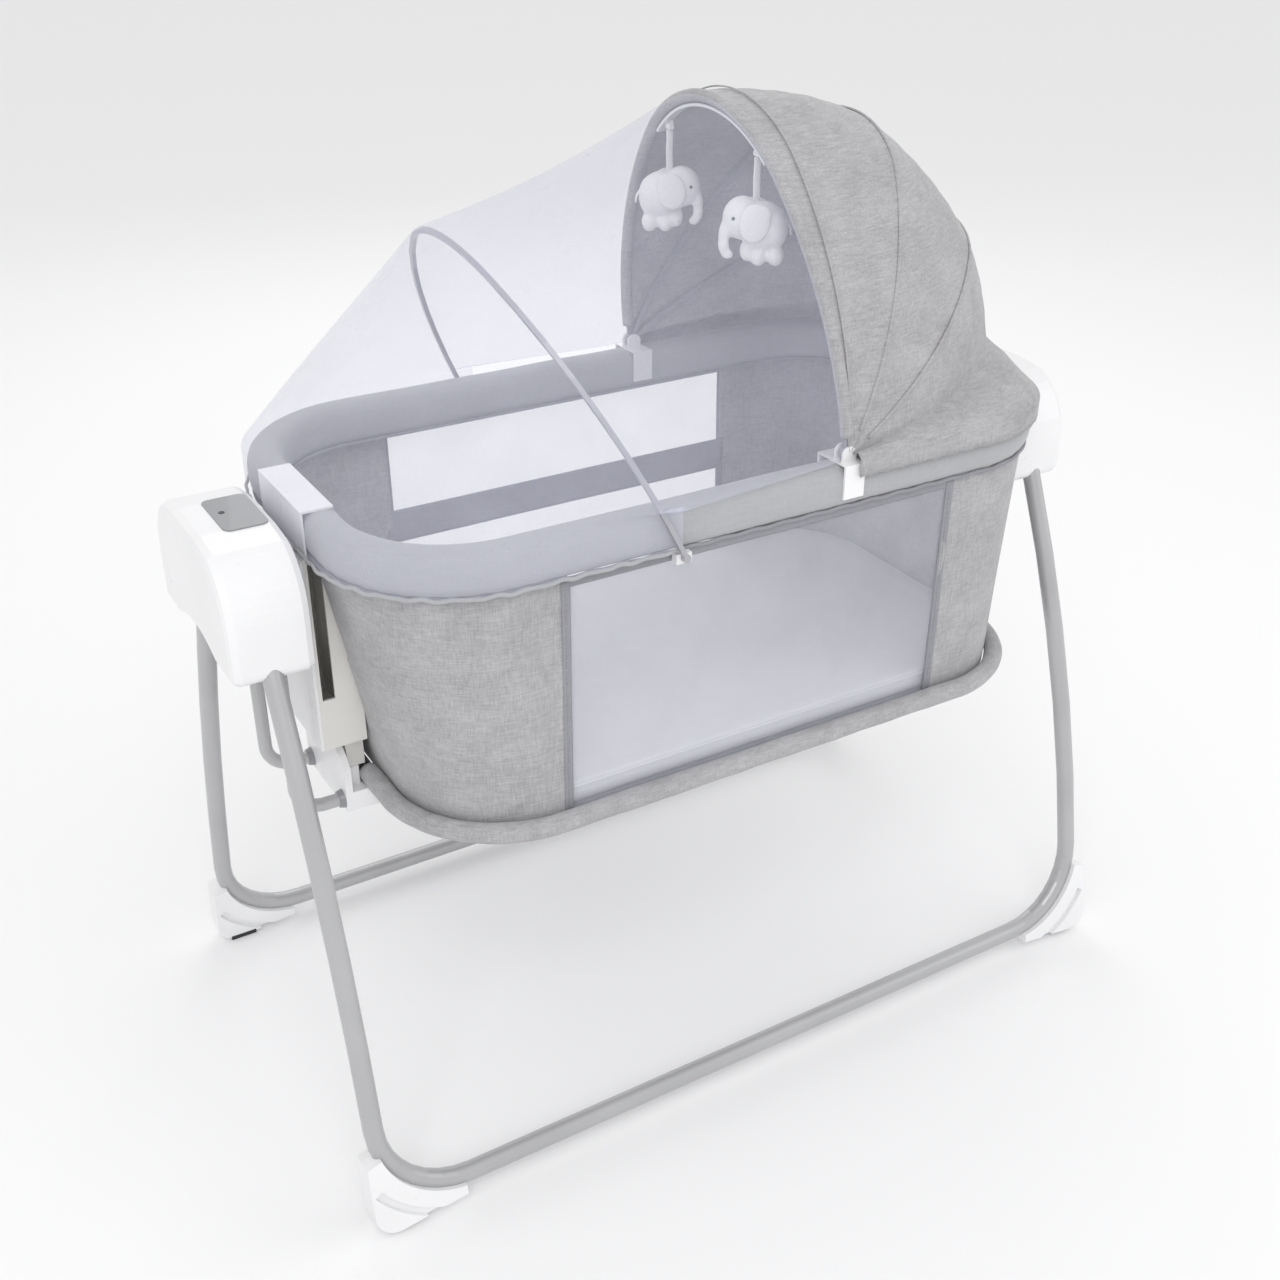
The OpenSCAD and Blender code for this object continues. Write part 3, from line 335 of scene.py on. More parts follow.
def frames_along(path, closed, up):
    """Sideways and upward directions along a path."""
    if closed:
        t = np.roll(path, -1, 0) - np.roll(path, 1, 0)
    else:
        t = np.gradient(path, axis=0)
    t /= np.linalg.norm(t, axis=1, keepdims=True)
    if up is None:
        up = np.array([0.0, 0.0, 1.0])
    up = np.broadcast_to(np.asarray(up, float), path.shape)
    side = np.cross(t, up)
    side /= np.maximum(np.linalg.norm(side, axis=1, keepdims=True), 1e-9)
    nrm = np.cross(side, t)
    return side, nrm


def tube(name, path, ra, rb, mat, body, closed=False, up=None, sides=8, slot=None, ripple=None):
    """Swept tube with half widths ra (sideways) and rb (along up)."""
    side, nrm = frames_along(path, closed, up)
    ang = np.linspace(0, 2 * np.pi, sides, endpoint=False)
    n = len(path)
    sideways = ra * np.cos(ang)[None, :, None] * side[:, None]
    upward = rb * np.sin(ang)[None, :, None] * nrm[:, None]
    ring = path[:, None] + sideways + upward
    if ripple is not None:
        ring = ring + ripple(ring)
    faces = grid_faces(n, sides, closed, True)
    verts = ring.reshape(-1, 3)
    if not closed:
        faces.append(tuple(range(sides)))
        faces.append(tuple(reversed(range((n - 1) * sides, n * sides))))
    return make(name, verts, faces, mat, body)


STITCH_PITCH = 6 * MM
STITCH_LENGTH = 3.6 * MM
STITCH_R = 0.45 * MM
STITCH_SIDES = 5


def stitches(name, path, up, mat):
    """A row of thread stitches on the cradle, lying along a path and raised a little along up."""
    seg = np.linalg.norm(np.diff(path, axis=0), axis=1)
    s = np.concatenate([[0], np.cumsum(seg)])
    verts, faces = [], []
    for c in np.arange(STITCH_PITCH, s[-1] - STITCH_PITCH, STITCH_PITCH):
        spots = (c - STITCH_LENGTH / 2, c, c + STITCH_LENGTH / 2)
        ends = [np.array([np.interp(q, s, path[:, k]) for k in range(3)]) for q in spots]
        axis = ends[2] - ends[0]
        axis /= np.linalg.norm(axis)
        side = np.cross(axis, up)
        base = len(verts)
        for pos, lift, thick in zip(ends, (0.2, 1.0, 0.2), (0.5, 1.0, 0.5)):
            for a in range(STITCH_SIDES):
                an = 2 * math.pi * a / STITCH_SIDES
                around = math.cos(an) * side + math.sin(an) * up
                verts.append(pos + up * lift * STITCH_R + STITCH_R * thick * around)
        last = len(verts) - 1
        faces += [tuple(base + v for v in f) for f in grid_faces(3, STITCH_SIDES, False, True)]
        faces.append(tuple(base + i for i in range(STITCH_SIDES)))
        faces.append(tuple(last - i for i in range(STITCH_SIDES)))
    make(name, verts, faces, mat, "cradle")


# ---------------------------------------------------------------- sizes read from the frame
rim_lo, rim_hi = corner("rim_pad")
ring_lo, ring_hi = corner("ring_sleeve")
RIM_A = (rim_hi[0] - rim_lo[0]) / 2
RIM_B = (rim_hi[1] - rim_lo[1]) / 2
RIM_CX = (rim_hi[0] + rim_lo[0]) / 2
RING_A = (ring_hi[0] - ring_lo[0]) / 2
RING_B = (ring_hi[1] - ring_lo[1]) / 2
RING_CX = (ring_hi[0] + ring_lo[0]) / 2
RING_Z = (ring_hi[2] + ring_lo[2]) / 2
RING_R = (ring_hi[2] - ring_lo[2]) / 2
CORNER = 150 * MM
RIM_W = 38 * MM
RING_GAP = 41 * MM
WALL_IN_LOW = 24.9 * MM
WALL_IN_HIGH = 7.2 * MM
WIN = corner("mesh_front")
WALL_Z0 = WIN[0][2]
MAT = corner("mattress")
CLIP = corner("canopy_clips")
CLIP_X = (CLIP[0][0] + CLIP[1][0]) / 2
CANOPY_Z = rim_hi[2] + 9 * MM
HOOP = corner("net_hoop")


def plan_curve(a, b, r, cx, off, n_corner=24, n_side=40, n_end=16):
    """Closed plan outline, anticlockwise from the head end's rear corner, with outward normals."""
    p, q, rr = a - r, b - r, r + off
    pts, nor = [], []

    def arc(cx0, cy0, a0, n):
        for i in range(n):
            an = math.radians(a0 + 90 * i / n)
            d = np.array([math.cos(an), math.sin(an), 0])
            pts.append(np.array([cx + cx0, cy0, 0]) + rr * d)
            nor.append(d)

    def line(x0, y0, x1, y1, d, n):
        for i in range(n):
            f = i / n
            pts.append(np.array([cx + x0 + (x1 - x0) * f, y0 + (y1 - y0) * f, 0]))
            nor.append(np.array(d, float))

    arc(p, q, 0, n_corner)
    line(p, q + rr, -p, q + rr, (0, 1, 0), n_side)
    arc(-p, q, 90, n_corner)
    line(-p - rr, q, -p - rr, -q, (-1, 0, 0), n_end)
    arc(-p, -q, 180, n_corner)
    line(-p, -q - rr, p, -q - rr, (0, -1, 0), n_side)
    arc(p, -q, 270, n_corner)
    line(p + rr, -q, p + rr, q, (1, 0, 0), n_end)
    return np.array(pts), np.array(nor)


# ---------------------------------------------------------------- padded rim
def rim_cover():
    pts, nor = plan_curve(RIM_A, RIM_B, CORNER, RIM_CX, -RIM_W / 2, 40, 70, 30)
    n, sides = len(pts), 36
    zc = (rim_hi[2] + rim_lo[2]) / 2
    hw, hh = RIM_W / 2 + 0.8 * MM, (rim_hi[2] - rim_lo[2]) / 2 + 0.6 * MM
    P = np.zeros((n, sides, 3))
    d = np.linalg.norm(np.diff(np.vstack([pts, pts[:1]]), axis=0), axis=1)
    s = np.concatenate([[0], np.cumsum(d)])[:-1]
    for j in range(sides):
        a = 2 * math.pi * j / sides
        ca, sa = math.cos(a), math.sin(a)
        e = 0.72
        w = hw * np.sign(ca) * abs(ca) ** e
        h = hh * np.sign(sa) * abs(sa) ** e
        low = max(0.0, -sa)
        foot = np.clip((-pts[:, 0] - 0.20) / 0.22, 0, 1)
        pucker = (0.6 + 1.6 * foot) * MM * low ** 2 * np.sin(s * 2 * np.pi / 0.019 + 1.3 * np.sin(s * 21))
        soft = 1.1 * MM * smooth_noise(pts + [0, 0, h], 3, 26)
        bulge = pucker * (1 if ca > 0 else -1) * 0.6 + soft * np.sign(ca) * abs(ca)
        P[:, j] = pts + nor * (w + bulge)[:, None]
        P[:, j, 2] = zc + h + 0.7 * MM * smooth_noise(pts, 8, 34) * abs(sa)
    ob = make("rim_padding", P.reshape(-1, 3), grid_faces(n, sides, True, True), M_RIM, "cradle")
    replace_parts(ob, "rim_pad")
    # hems along the two lower edges
    edge = pts + nor * (RIM_W / 2 - 3.5 * MM)
    edge[:, 2] = rim_lo[2] + 0.8 * MM + 0.8 * MM * np.sin(s * 2 * np.pi / 0.038)
    tube("rim_hem", edge, 2.2 * MM, 2.2 * MM, M_TRIM, "cradle", closed=True)
    inner = pts - nor * (RIM_W / 2 - 3.5 * MM)
    inner[:, 2] = rim_lo[2] + 0.6 * MM
    tube("rim_hem_inner", inner, 2.0 * MM, 2.0 * MM, M_TRIM, "cradle", closed=True)


rim_cover()


# ---------------------------------------------------------------- lower ring's sleeve
def ring_cover():
    pts, nor = plan_curve(RING_A, RING_B, CORNER, RING_CX, -RING_R, 40, 70, 30)
    pts[:, 2] = RING_Z
    cut = (abs(pts[:, 0]) > 0.3) & (abs(pts[:, 1]) < RING_GAP)
    n = len(pts)
    runs, cur = [], []
    start = int(np.where(cut)[0][0])
    for k in range(n + 1):
        i = (start + k) % n
        if cut[i] or k == n:
            if len(cur) > 3:
                runs.append(cur)
            cur = []
        else:
            cur.append(i)

    def ripple(ring):
        c = ring.mean(axis=1, keepdims=True)
        d = ring - c
        d /= np.linalg.norm(d, axis=2, keepdims=True)
        return d * (0.6 * MM * smooth_noise(ring, 5, 60))[..., None]

    r = RING_R + 0.2 * MM
    for k, run in enumerate(runs):
        name = "ring_cover_%d" % (k + 1)
        ob = tube(name, pts[run], r, r, M_CLOTH, "cradle", sides=20, ripple=ripple)
        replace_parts(ob, "ring_sleeve")


ring_cover()


# ---------------------------------------------------------------- basket walls
def wall_point(side, x, h):
    """Point on a side wall: side is -1 for the front, 1 for the rear, h runs from 0 to 1 up the wall."""
    y0 = RING_B - WALL_IN_LOW
    y1 = RIM_B - WALL_IN_HIGH
    return np.array([x, side * (y0 + (y1 - y0) * h), WALL_Z0 + (rim_lo[2] - WALL_Z0) * h])


RECESS_X = -392.4 * MM
RECESS_HALF = 64.5 * MM


def end_wall(name, sign, x_in, mat):
    """Wall round one end: sign -1 for the foot end, 1 for the head end."""
    z0, z1 = WALL_Z0, rim_lo[2] + 3 * MM
    n_s, n_c, n_e, n_h = 10, 26, 44, 40

    def curve(a, b, cx, off):
        p, q, rr = a - CORNER, b - CORNER, CORNER + off
        out = []
        xc = cx + sign * p
        for i in range(n_s):
            out.append((x_in + (xc - x_in) * i / n_s, -q - rr))
        for i in range(n_c):
            an = math.pi / 2 * i / n_c
            out.append((xc + sign * rr * math.sin(an), -q - rr * math.cos(an)))
        for i in range(n_e + 1):
            out.append((xc + sign * rr, -q + 2 * q * i / n_e))
        for i in range(1, n_c + 1):
            an = math.pi / 2 * (1 - i / n_c)
            out.append((xc + sign * rr * math.sin(an), q + rr * math.cos(an)))
        for i in range(1, n_s + 1):
            out.append((xc + (x_in - xc) * i / n_s, q + rr))
        return np.array(out)

    L = curve(RING_A, RING_B, RING_CX, -WALL_IN_LOW)
    U = curve(RIM_A, RIM_B, RIM_CX, -WALL_IN_HIGH)
    P = np.zeros((len(L), n_h, 3))
    for j in range(n_h):
        h = j / (n_h - 1)
        P[:, j, :2] = L + (U - L) * h
        P[:, j, 2] = z0 + (z1 - z0) * h
    if sign < 0:
        # recess that the foot post stands in
        inside = np.abs(P[:, :, 1]) < RECESS_HALF
        P[:, :, 0] = np.where(inside, np.maximum(P[:, :, 0], RECESS_X), P[:, :, 0])
    mid = P.mean(axis=(0, 1))
    out = P - [mid[0], 0, 0]
    out[..., 2] = 0
    out /= np.maximum(np.linalg.norm(out, axis=2, keepdims=True), 1e-6)
    hh = np.linspace(0, 1, n_h)[None, :]
    belly = np.sin(np.pi * hh) ** 0.8
    creases = 0.8 * MM * smooth_noise(P * [1, 1, 0.25], 12, 55) * belly
    sag = 1.6 * MM * smooth_noise(P, 11, 16) * belly + creases
    wave = np.sin(np.linspace(0, 70 * np.pi, len(L)))[:, None]
    gather = 1.2 * MM * np.clip((hh - 0.80) / 0.2, 0, 1) * wave
    P += out * (sag + gather * 0.7)[..., None]
    return wall_sheet(name, P, mat, 1.6 * MM)


FRONT_X0, FRONT_X1 = WIN[0][0], WIN[1][0]
TRIM = 10 * MM
foot_wall = end_wall("wall_foot_cloth", -1, FRONT_X0 - TRIM * 0.3, M_CLOTH)
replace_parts(foot_wall, "wall_foot")
head_wall = end_wall("wall_head_cloth", 1, FRONT_X1 + TRIM * 0.3, M_CLOTH)
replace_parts(head_wall, "wall_head")


def side_panel(name, side, x, h, mat, thick, node, puff=0.0, seed=1, size=(60, 30), out=0.0):
    """Part of a side wall between two x and two heights, standing in for a node."""
    (x0, x1), (h0, h1), (nx, nh) = x, h, size
    P = np.zeros((nx, nh, 3))
    for i in range(nx):
        for j in range(nh):
            u, v = i / (nx - 1), j / (nh - 1)
            p = wall_point(side, x0 + (x1 - x0) * u, h0 + (h1 - h0) * v)
            p[1] += side * (out + puff * math.sin(math.pi * u) * math.sin(math.pi * v))
            P[i, j] = p
    P[..., 1] += side * 0.5 * MM * smooth_noise(P, seed, 30) * (1 if puff else 0.4)
    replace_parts(wall_sheet(name, P, mat, thick), node)


WALL_H = rim_lo[2] - WALL_Z0
top_h = (WALL_H - 8 * MM) / WALL_H
band0, band1 = (WALL_H - 150 * MM) / WALL_H, (WALL_H - 108 * MM) / WALL_H
WINDOW_T = 0.5 * MM
window = (FRONT_X0, FRONT_X1)
whole = (FRONT_X0 - TRIM, FRONT_X1 + TRIM)
low_h, high_h = (0.0, band0 + 0.01), (band1 - 0.01, top_h + 0.02)
full_h = (0.0, top_h + 0.02)
side_panel("window_front", -1, window, full_h, M_MESH, WINDOW_T, "mesh_front", -1.5 * MM, 21)
side_panel("window_rear_low", 1, window, low_h, M_MESH, WINDOW_T, "mesh_rear", -1.0 * MM, 22)
side_panel("window_rear_high", 1, window, high_h, M_MESH, WINDOW_T, "mesh_rear", -1.0 * MM, 23)


def trim(name, side, x, h, thick, seed, size, out, mat=M_TRIM, puff=0):
    side_panel(name, side, x, h, mat, thick, "window_trims", puff, seed, size, out)


for side, tag in ((-1, "front"), (1, "rear")):
    for k, x0 in enumerate((FRONT_X0 - TRIM, FRONT_X1)):
        name = "trim_%s_%d" % (tag, k + 1)
        trim(name, side, (x0, x0 + TRIM), (0.0, 1.0), 2.0 * MM, 31 + k, (6, 40), 0.5 * MM)
    trim("trim_top_%s" % tag, side, whole, (top_h - 0.01, 1.0), 1.8 * MM, 35, (60, 5), 0.3 * MM)
    trim("trim_low_%s" % tag, side, whole, (0.0, 0.035), 1.8 * MM, 36, (60, 4), 0.3 * MM)
trim("band_rear", 1, whole, (band0, band1), 2.2 * MM, 37, (60, 10), 0.2 * MM, M_CLOTH_DARK, 0.5 * MM)
for side, tag in ((-1, "front"), (1, "rear")):
    for k, x in enumerate((FRONT_X0 - TRIM * 0.5, FRONT_X1 + TRIM * 0.5)):
        out = np.array([0.0, side, 0.0])
        path = np.array([wall_point(side, x, h) + out * 1.9 * MM for h in np.linspace(0.03, 0.97, 40)])
        stitches("trim_stitch_%s_%d" % (tag, k + 1), path, out, M_CLOTH)


# ---------------------------------------------------------------- mattress
def mattress():
    inset = 34 * MM
    n_r, n_low = 16, 4
    pts, nor = plan_curve(RING_A - inset, RING_B - inset, CORNER - inset, RING_CX, 0, 22, 40, 14)
    z0, z1 = MAT[0][2] + 0.3 * MM, MAT[1][2]
    rings = []
    c = np.array([RING_CX, 0, 0])
    for side_t in np.linspace(0, 1, 8):
        an = -math.pi / 2 + math.pi * side_t
        zz = (z0 + z1) / 2 + (z1 - z0) / 2 * math.sin(an) * 0.96
        R = pts - nor * (5 * MM * (1 - math.cos(an)))
        R[:, 2] = zz
        rings.append(R)
    top = rings[-1].copy()
    for k in range(1, n_r + 1):
        f = k / n_r
        R = top + (c - top) * f
        dents = 0.9 * MM * smooth_noise(R, 17, 18) * min(1, 3 * f)
        R[:, 2] = z1 - 1.2 * MM + 3.2 * MM * (1 - (1 - f) ** 3) + dents
        R[:, 2] = np.minimum(R[:, 2], z1 + 3.0 * MM)
        rings.append(R)
    bottom = rings[0].copy()
    low = []
    for k in range(n_low, 0, -1):
        f = k / n_low
        R = bottom + (c - bottom) * f
        R[:, 2] = z0
        low.append(R)
    P = np.array(low + rings)
    faces = grid_faces(P.shape[0], P.shape[1], False, True)
    ob = make("mattress_pad", P.reshape(-1, 3), faces, M_SHEET, "cradle")
    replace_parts(ob, "mattress")
    edge = pts + nor * 0.4 * MM
    edge[:, 2] = z1 - 4 * MM
    r = 1.6 * MM
    tube("mattress_piping", edge, r, r, M_SHEET, "cradle", closed=True, slot="white_fabric")


mattress()


# ---------------------------------------------------------------- canopy
BOW_HALF, BOW_RISE, BOW_TOP = 226 * MM, 332 * MM, 160 * MM


def arch(t, off, half=BOW_HALF, rise=BOW_RISE, top=BOW_TOP):
    """Arch from t -1 (front foot) to 1 (rear foot): height above the pivots' line, and y."""
    R = (half ** 2 + (rise - top) ** 2 - top ** 2) / (2 * (half - top))
    A = math.atan2(rise - top, R - half)
    la, lb = R * A, top * (math.pi / 2 - A)
    s = (1 - abs(t)) * (la + lb)
    if s < la:
        a = s / R
        y, h = half - R + (R + off) * math.cos(a), (R + off) * math.sin(a)
    else:
        a = A + (s - la) / top
        y, h = (top + off) * math.cos(a), rise - top + (top + off) * math.sin(a)
    return h, (-y if t < 0 else y)


def lifted(h, y, phi, x0=CLIP_X, z0=CANOPY_Z):
    """Point of an arch that stands at an angle phi above the +X side of its pivots' line."""
    return np.array([x0 + h * math.cos(phi), y, z0 + h * math.sin(phi)])


TILT = math.radians(96)
LOW, MID = TILT / 3, TILT * 2 / 3
SKIN = 5.4 * MM


def rim_ray(theta, off):
    """Point of the rim's outline, pushed out by off, at an angle in plan from the pivots' middle."""
    p, q, rr = RIM_A - CORNER, RIM_B - CORNER, CORNER + off
    c, s = math.cos(theta), math.sin(theta)
    lo, hi = 0.0, 1.0
    for _ in range(40):
        m = (lo + hi) / 2
        x, y = CLIP_X + m * c - RIM_CX, m * s
        dx, dy = max(abs(x) - p, 0), max(abs(y) - q, 0)
        if math.hypot(dx, dy) < rr:
            lo = m
        else:
            hi = m
    return CLIP_X + lo * c, lo * s


def across(p):
    """Directions from the middle of the pivots' line to points."""
    d = p - np.array([CLIP_X, 0, CANOPY_Z])
    return d / np.maximum(np.linalg.norm(d, axis=-1, keepdims=True), 1e-6)


def canopy():
    nt = 150
    ts = np.linspace(-0.992, 0.992, nt)
    front = np.linspace(TILT + 0.02, MID, 22)
    middle = np.linspace(MID, LOW, 20)[1:]
    phis = np.concatenate([front, middle, np.linspace(LOW, 0.13, 14)[1:]])
    rows = []
    for phi in phis:
        if phi >= MID:
            f = (phi - MID) / (TILT + 0.02 - MID)
        elif phi >= LOW:
            f = (phi - LOW) / (MID - LOW)
        else:
            f = 0.0
        sag = math.sin(math.pi * f) ** 0.9 if f > 0 else 0
        row = []
        for t in ts:
            h, y = arch(t, SKIN)
            up = max(0.0, 1 - abs(t) ** 3)
            k = 1 - 0.014 * sag * up
            wr = 0.0035 * (1 - up) * math.sin(phi * 22 + 2 * abs(t))
            wr += 0.0012 * math.sin(phi * 60 + 9 * t)
            row.append(lifted(h * (k + wr), y * (1 - 0.012 * sag), phi))
        rows.append(row)
    base = np.array(rows[-1])
    hem, mid = [], []
    for i, t in enumerate(ts):
        th = math.atan2(base[i, 1], max(base[i, 0] - CLIP_X, 1e-4))
        x, y = rim_ray(th, 7.6 * MM)
        gathered = 1.0 * MM * math.sin(i * 1.9)
        hem.append((x, y, CANOPY_Z - 21 * MM + gathered))
        mid.append((x, y, CANOPY_Z - 5 * MM))
    hem, mid = np.array(hem), np.array(mid)
    shoulder = base * 0.45 + mid * 0.55 + [0, 0, 9 * MM]
    skirt = mid * 0.5 + hem * 0.5 + [0, 0, 2 * MM]
    P = np.array(rows + [r.tolist() for r in (shoulder, mid + [0, 0, 4 * MM], skirt, hem)])
    P[:, :, 2] = np.maximum(P[:, :, 2], CANOPY_Z - 23 * MM)
    fade = np.ones(P.shape[0])
    fade[:2] = 0
    fade[-4:] = 0.3
    waves = 0.9 * MM * smooth_noise(P, 41, 22) * fade[:, None]
    P = P + across(P) * waves[..., None]
    ob = make("canopy_cloth", P.reshape(-1, 3), grid_faces(P.shape[0], P.shape[1]), M_CLOTH, None)
    modify(ob, "SOLIDIFY", thickness=1.4 * MM, offset=-1.0, use_even_offset=False)
    apply_all(ob)
    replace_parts(ob, "canopy_base", "canopy_middle", "canopy_front")
    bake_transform(ob)
    for k, (phi, r) in enumerate(((MID, 1.5), (LOW, 1.5), (TILT - 0.075, 0.9))):
        ts = np.linspace(-0.94, 0.94, 140)
        path = np.array([lifted(*arch(t, SKIN + 0.6 * MM), phi) for t in ts])
        name = "canopy_seam_%d" % (k + 1)
        seam = tube(name, path, r * 1.6 * MM, r * MM, M_CLOTH, None, up=across(path))
        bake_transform(seam)
    ts = np.linspace(-0.955, 0.955, 160)
    path = np.array([lifted(*arch(t, 1.5 * MM), TILT + 0.012) for t in ts])
    binding = ("canopy_front_binding", path, 7.2 * MM, 6.4 * MM, M_CLOTH, "canopy_bow_front")
    tube(*binding, up=across(path), sides=18)


canopy()


# ---------------------------------------------------------------- net
HOOP_X = -108 * MM
HOOP_Z = rim_lo[2] - 4 * MM
HOOP_HALF, HOOP_RISE, HOOP_TOP = HOOP[1][1] - 2.5 * MM, 320 * MM, 165 * MM
HOOP_PHI = math.radians(116)


def net():
    nt = 140
    ts = np.linspace(-1, 1, nt)
    n1, n2, n_drop = 26, 34, 8
    P = np.zeros((n1 + n2, nt, 3))
    pts, _ = plan_curve(RIM_A, RIM_B, CORNER, RIM_CX, 4.5 * MM, 60, 160, 50)
    loop = pts[pts[:, 0] < HOOP_X]
    order = np.argsort(-np.arctan2(loop[:, 1], -(loop[:, 0] - HOOP_X)))[::-1]
    loop = loop[order]
    seg = np.concatenate([[0], np.cumsum(np.linalg.norm(np.diff(loop, axis=0), axis=1))])
    low_z = rim_hi[2] + 3 * MM
    for i, t in enumerate(ts):
        A = lifted(*arch(t, 4 * MM), TILT + 0.035)
        B = lifted(*arch(t, 4.5 * MM, HOOP_HALF, HOOP_RISE, HOOP_TOP), HOOP_PHI, HOOP_X, HOOP_Z)
        u = (t + 1) / 2 * seg[-1]
        R = np.array([np.interp(u, seg, loop[:, 0]), np.interp(u, seg, loop[:, 1]), rim_lo[2] + 5 * MM])
        top = 1 - abs(t) ** 2.5
        for j in range(n1):
            f = j / n1
            p = A + (B - A) * f
            p[2] -= 10 * MM * math.sin(math.pi * f) * top
            p[2] = max(p[2], low_z)
            P[j, i] = p
        T = np.array([R[0], R[1], low_z])
        B[2] = max(B[2], low_z)
        for j in range(n2):
            f = j / (n2 - n_drop - 1)
            if f > 1:
                P[n1 + j, i] = T + (R - T) * (j - n2 + n_drop + 1) / n_drop
                continue
            p = B + (T - B) * f
            bulge = math.sin(math.pi * f) * top
            p += np.array([-0.006 * bulge, 0.0, 0.004 * bulge])
            p[2] = max(p[2], low_z)
            P[n1 + j, i] = p
    P[..., 0] = np.maximum(P[..., 0], RIM_CX - RIM_A - 7 * MM)
    frill = 0.6 * MM * np.sin(np.linspace(0, 46 * np.pi, nt))
    P[..., 2] += frill[None, :] * np.linspace(0, 1, n1 + n2)[:, None] ** 8
    spans = (
        ("veil_front", P[: n1 + 1], tuple(lifted(0.33, 0, TILT)), ("net_hoop", "bow_front")),
        ("veil_foot", P[n1:], (RIM_CX - RIM_A, 0, rim_hi[2]), ("net_hoop", "rim_padding")),
    )
    for name, Q, start, holders in spans:
        ob = make(name, Q.reshape(-1, 3), grid_faces(Q.shape[0], nt), M_NET, None)
        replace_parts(ob, "net")
        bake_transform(ob)
    # gathered elastic hem round the foot end
    hem = loop.copy()
    n = len(hem)
    hem[:, 2] = rim_lo[2] + 4 * MM + 0.9 * MM * np.sin(np.linspace(0, 60 * np.pi, n))
    hem[:, :2] += 0.7 * MM * np.sin(np.linspace(0, 90 * np.pi, n))[:, None]
    tube("veil_hem", hem, 1.8 * MM, 2.4 * MM, M_RIM, "cradle")


net()


# ---------------------------------------------------------------- toys
def blob(parts, at):
    """Form from ellipsoids (y, z, radii in mm, tilt in radians, x), placed by the given function."""
    bm = bmesh.new()
    for y0, z0, r, tilt, x0 in parts:
        res = bmesh.ops.create_icosphere(bm, subdivisions=3, radius=1.0)
        ca, sa = math.cos(tilt), math.sin(tilt)
        for v in res["verts"]:
            x, y, z = v.co.x * r[0], v.co.y * r[1], v.co.z * r[2]
            v.co = Vector(at(y0 + y * ca - z * sa, z0 + y * sa + z * ca, x0 + x))
    return bm


def soft_form(name, parts, at, mat, body, voxel=None, smoothing=0):
    """Object made of ellipsoids, merged and smoothed where a voxel size is given."""
    bm = blob(parts, at)
    me = bpy.data.meshes.new(name)
    bm.to_mesh(me)
    bm.free()
    ob = bpy.data.objects.new(name, me)
    bpy.context.collection.objects.link(ob)
    me.materials.append(mat)
    if voxel:
        modify(ob, "REMESH", mode="VOXEL", voxel_size=voxel)
        modify(ob, "SMOOTH", factor=0.6, iterations=smoothing)
        apply_all(ob)
    for p in ob.data.polygons:
        p.use_smooth = True
    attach(ob, body)
    return ob


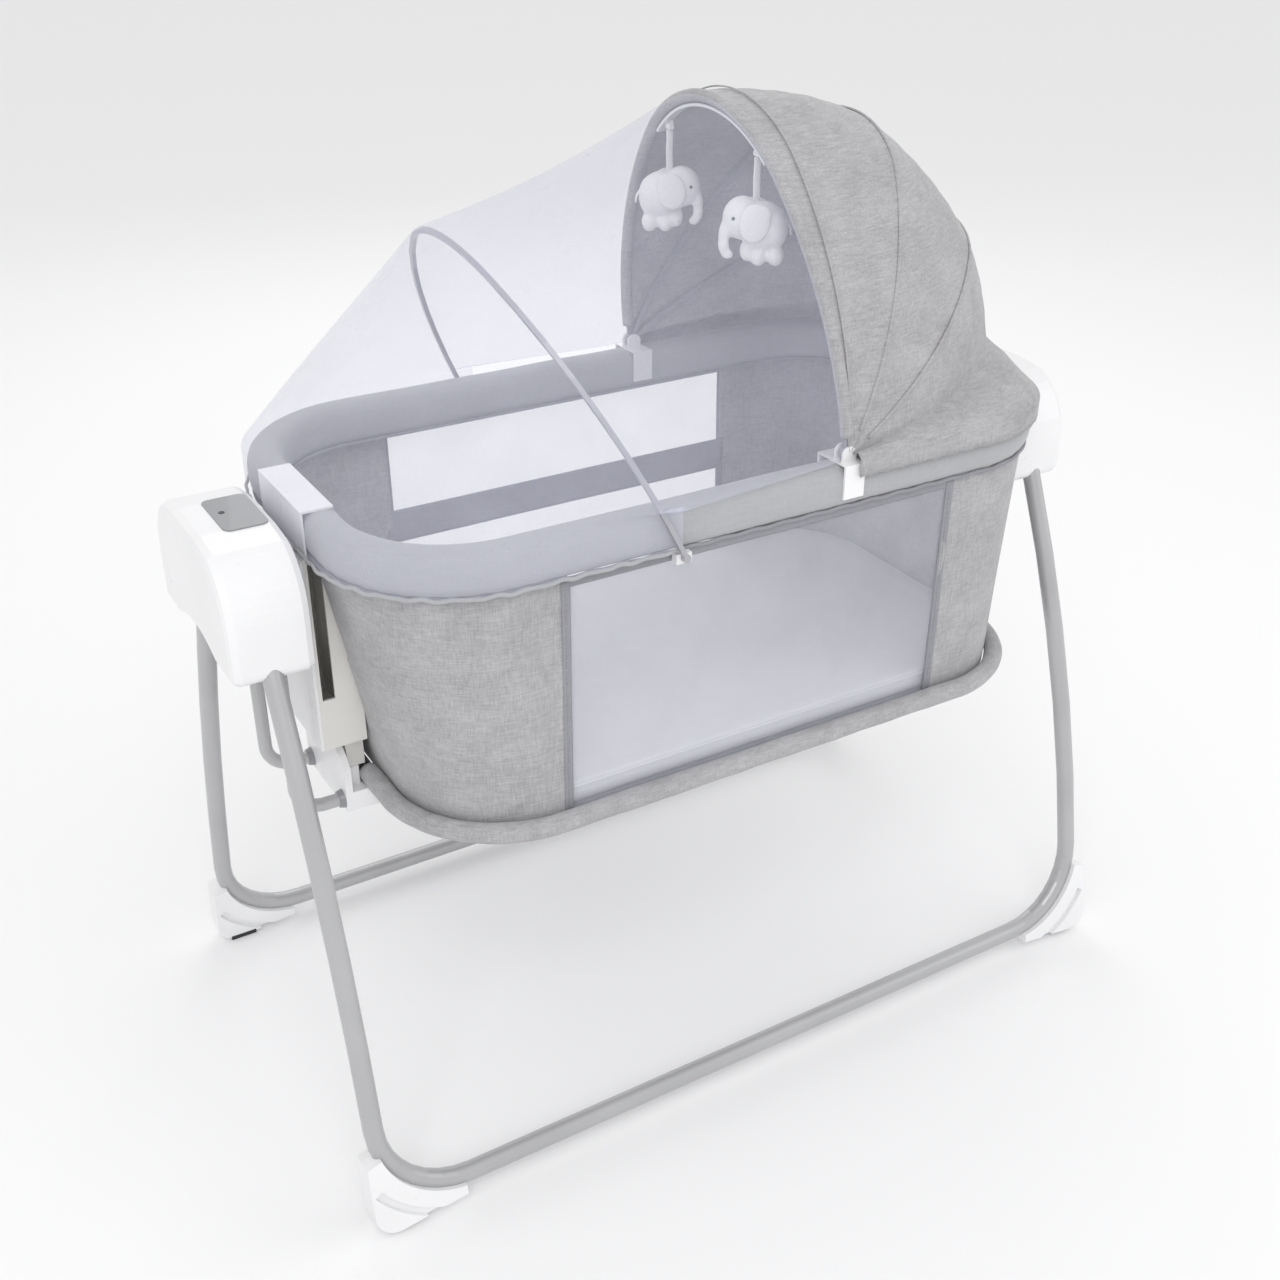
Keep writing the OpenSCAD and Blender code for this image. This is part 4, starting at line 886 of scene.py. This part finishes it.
def elephant(name, node, body, face):
    """A plush elephant on its strap, facing an angle in plan."""
    lo, hi = corner(node)
    cx, cy = (lo[0] + hi[0]) / 2, (lo[1] + hi[1]) / 2
    pin_z = hi[2] - 4.5 * MM
    c = np.array([cx, cy, lo[2] + 52 * MM])
    fx, fy = math.cos(face), math.sin(face)

    def at(y, z, x=0.0):
        return (c[0] + (y * fx - x * fy) * MM, c[1] + (y * fy + x * fx) * MM, c[2] + z * MM)

    def el(y, z, r, tilt=0.0, x=0.0):
        return (y, z, r, tilt, x)

    trunk = [el(31, -6, (7.5, 7, 16), 0.25), el(33, -22, (6.5, 6, 12), -0.05)]
    trunk.append(el(29, -32, (5.5, 7, 5.5), 0.3))
    feet = [el(-22, -33, (11, 9.5, 12)), el(-4, -34, (11, 9, 11)), el(8, -28, (9, 8, 12))]
    trunk_and_body = [el(-8, -2, (17, 25, 26)), el(-18, -4, (16, 17, 24)), el(14, 6, (16, 21, 23))] + trunk
    ob = soft_form(name, trunk_and_body + feet, at, M_PLUSH, body, 0.0018, 10)
    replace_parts(ob, node)
    for k, sx in enumerate((-1, 1)):
        flap = [el(2, 4, (3.2, 17, 21), 0.15, sx * 17.5), el(-4, 12, (2.8, 12, 12), 0.0, sx * 17.0)]
        soft_form("%s_ear_%d" % (name, k + 1), flap, at, M_PLUSH, body, 0.0012, 8)
        bead = [el(24, 8, (1.8, 2.0, 2.0), 0.0, sx * 13.2)]
        soft_form("%s_eye_%d" % (name, k + 1), bead, at, M_BLACK, body)
    tail = np.array([at(-33, 2), at(-37, -4), at(-38, -12)])
    tube(name + "_tail", tail, 1.4 * MM, 1.4 * MM, M_PLUSH, body, up=(1, 0, 0), slot="white_fabric")
    # strap, and its loop round the pin
    loop_r = 3.0 * MM
    turns = [math.pi * (1.5 + 2 * k / 24) for k in range(24)]
    loop = np.array([(cx + loop_r * math.cos(a), cy, pin_z + loop_r * math.sin(a)) for a in turns])
    top = pin_z - loop_r
    drop = top - c[2] - 20 * MM
    strap = np.array([(cx + 0.2 * MM * math.sin(k), cy, top - k / 10 * drop) for k in range(11)])
    style = {"sides": 10, "slot": "white_fabric"}
    tube(name + "_loop", loop, 4.6 * MM, 0.5 * MM, M_PLUSH, body, up=loop - [cx, cy, pin_z], **style)
    tube(name + "_strap", strap, 0.9 * MM, 4.6 * MM, M_PLUSH, body, up=(1, 0, 0), **style)


elephant("elephant_front", "toy_front", "toy_a", math.radians(149))
elephant("elephant_rear", "toy_rear", "toy_b", math.radians(-31))


# ---------------------------------------------------------------- stage and light
floor_me = bpy.data.meshes.new("floor")
FLOOR = 30.0
floor_corners = [(-FLOOR, -FLOOR, 0), (FLOOR, -FLOOR, 0), (FLOOR, FLOOR, 0), (-FLOOR, FLOOR, 0)]
floor_me.from_pydata(floor_corners, [], [(0, 1, 2, 3)])
floor = bpy.data.objects.new("floor", floor_me)
bpy.context.collection.objects.link(floor)
fm, _, fb = new_material("floor_white")
fb.inputs["Base Color"].default_value = (0.93, 0.93, 0.935, 1)
fb.inputs["Roughness"].default_value = 0.9
floor_me.materials.append(fm)

world = bpy.data.worlds.new("studio")
bpy.context.scene.world = world
world.use_nodes = True
world.node_tree.nodes["Background"].inputs[0].default_value = (1, 1, 1, 1)
world.node_tree.nodes["Background"].inputs[1].default_value = 0.85
bpy.context.scene.view_settings.view_transform = "Standard"


def area(name, loc, target, size, power):
    li = bpy.data.lights.new(name, "AREA")
    li.size = size
    li.energy = power
    ob = bpy.data.objects.new(name, li)
    ob.location = loc
    d = Vector(target) - Vector(loc)
    ob.rotation_euler = d.to_track_quat("-Z", "Y").to_euler()
    bpy.context.collection.objects.link(ob)


area("key", (-1.6, -2.6, 3.2), (0, 0, 0.6), 2.2, 42)
area("fill", (3.0, -2.0, 2.2), (0, 0, 0.6), 2.5, 14)
area("rim_light", (1.2, 2.8, 2.6), (0, 0, 0.8), 2.0, 16)
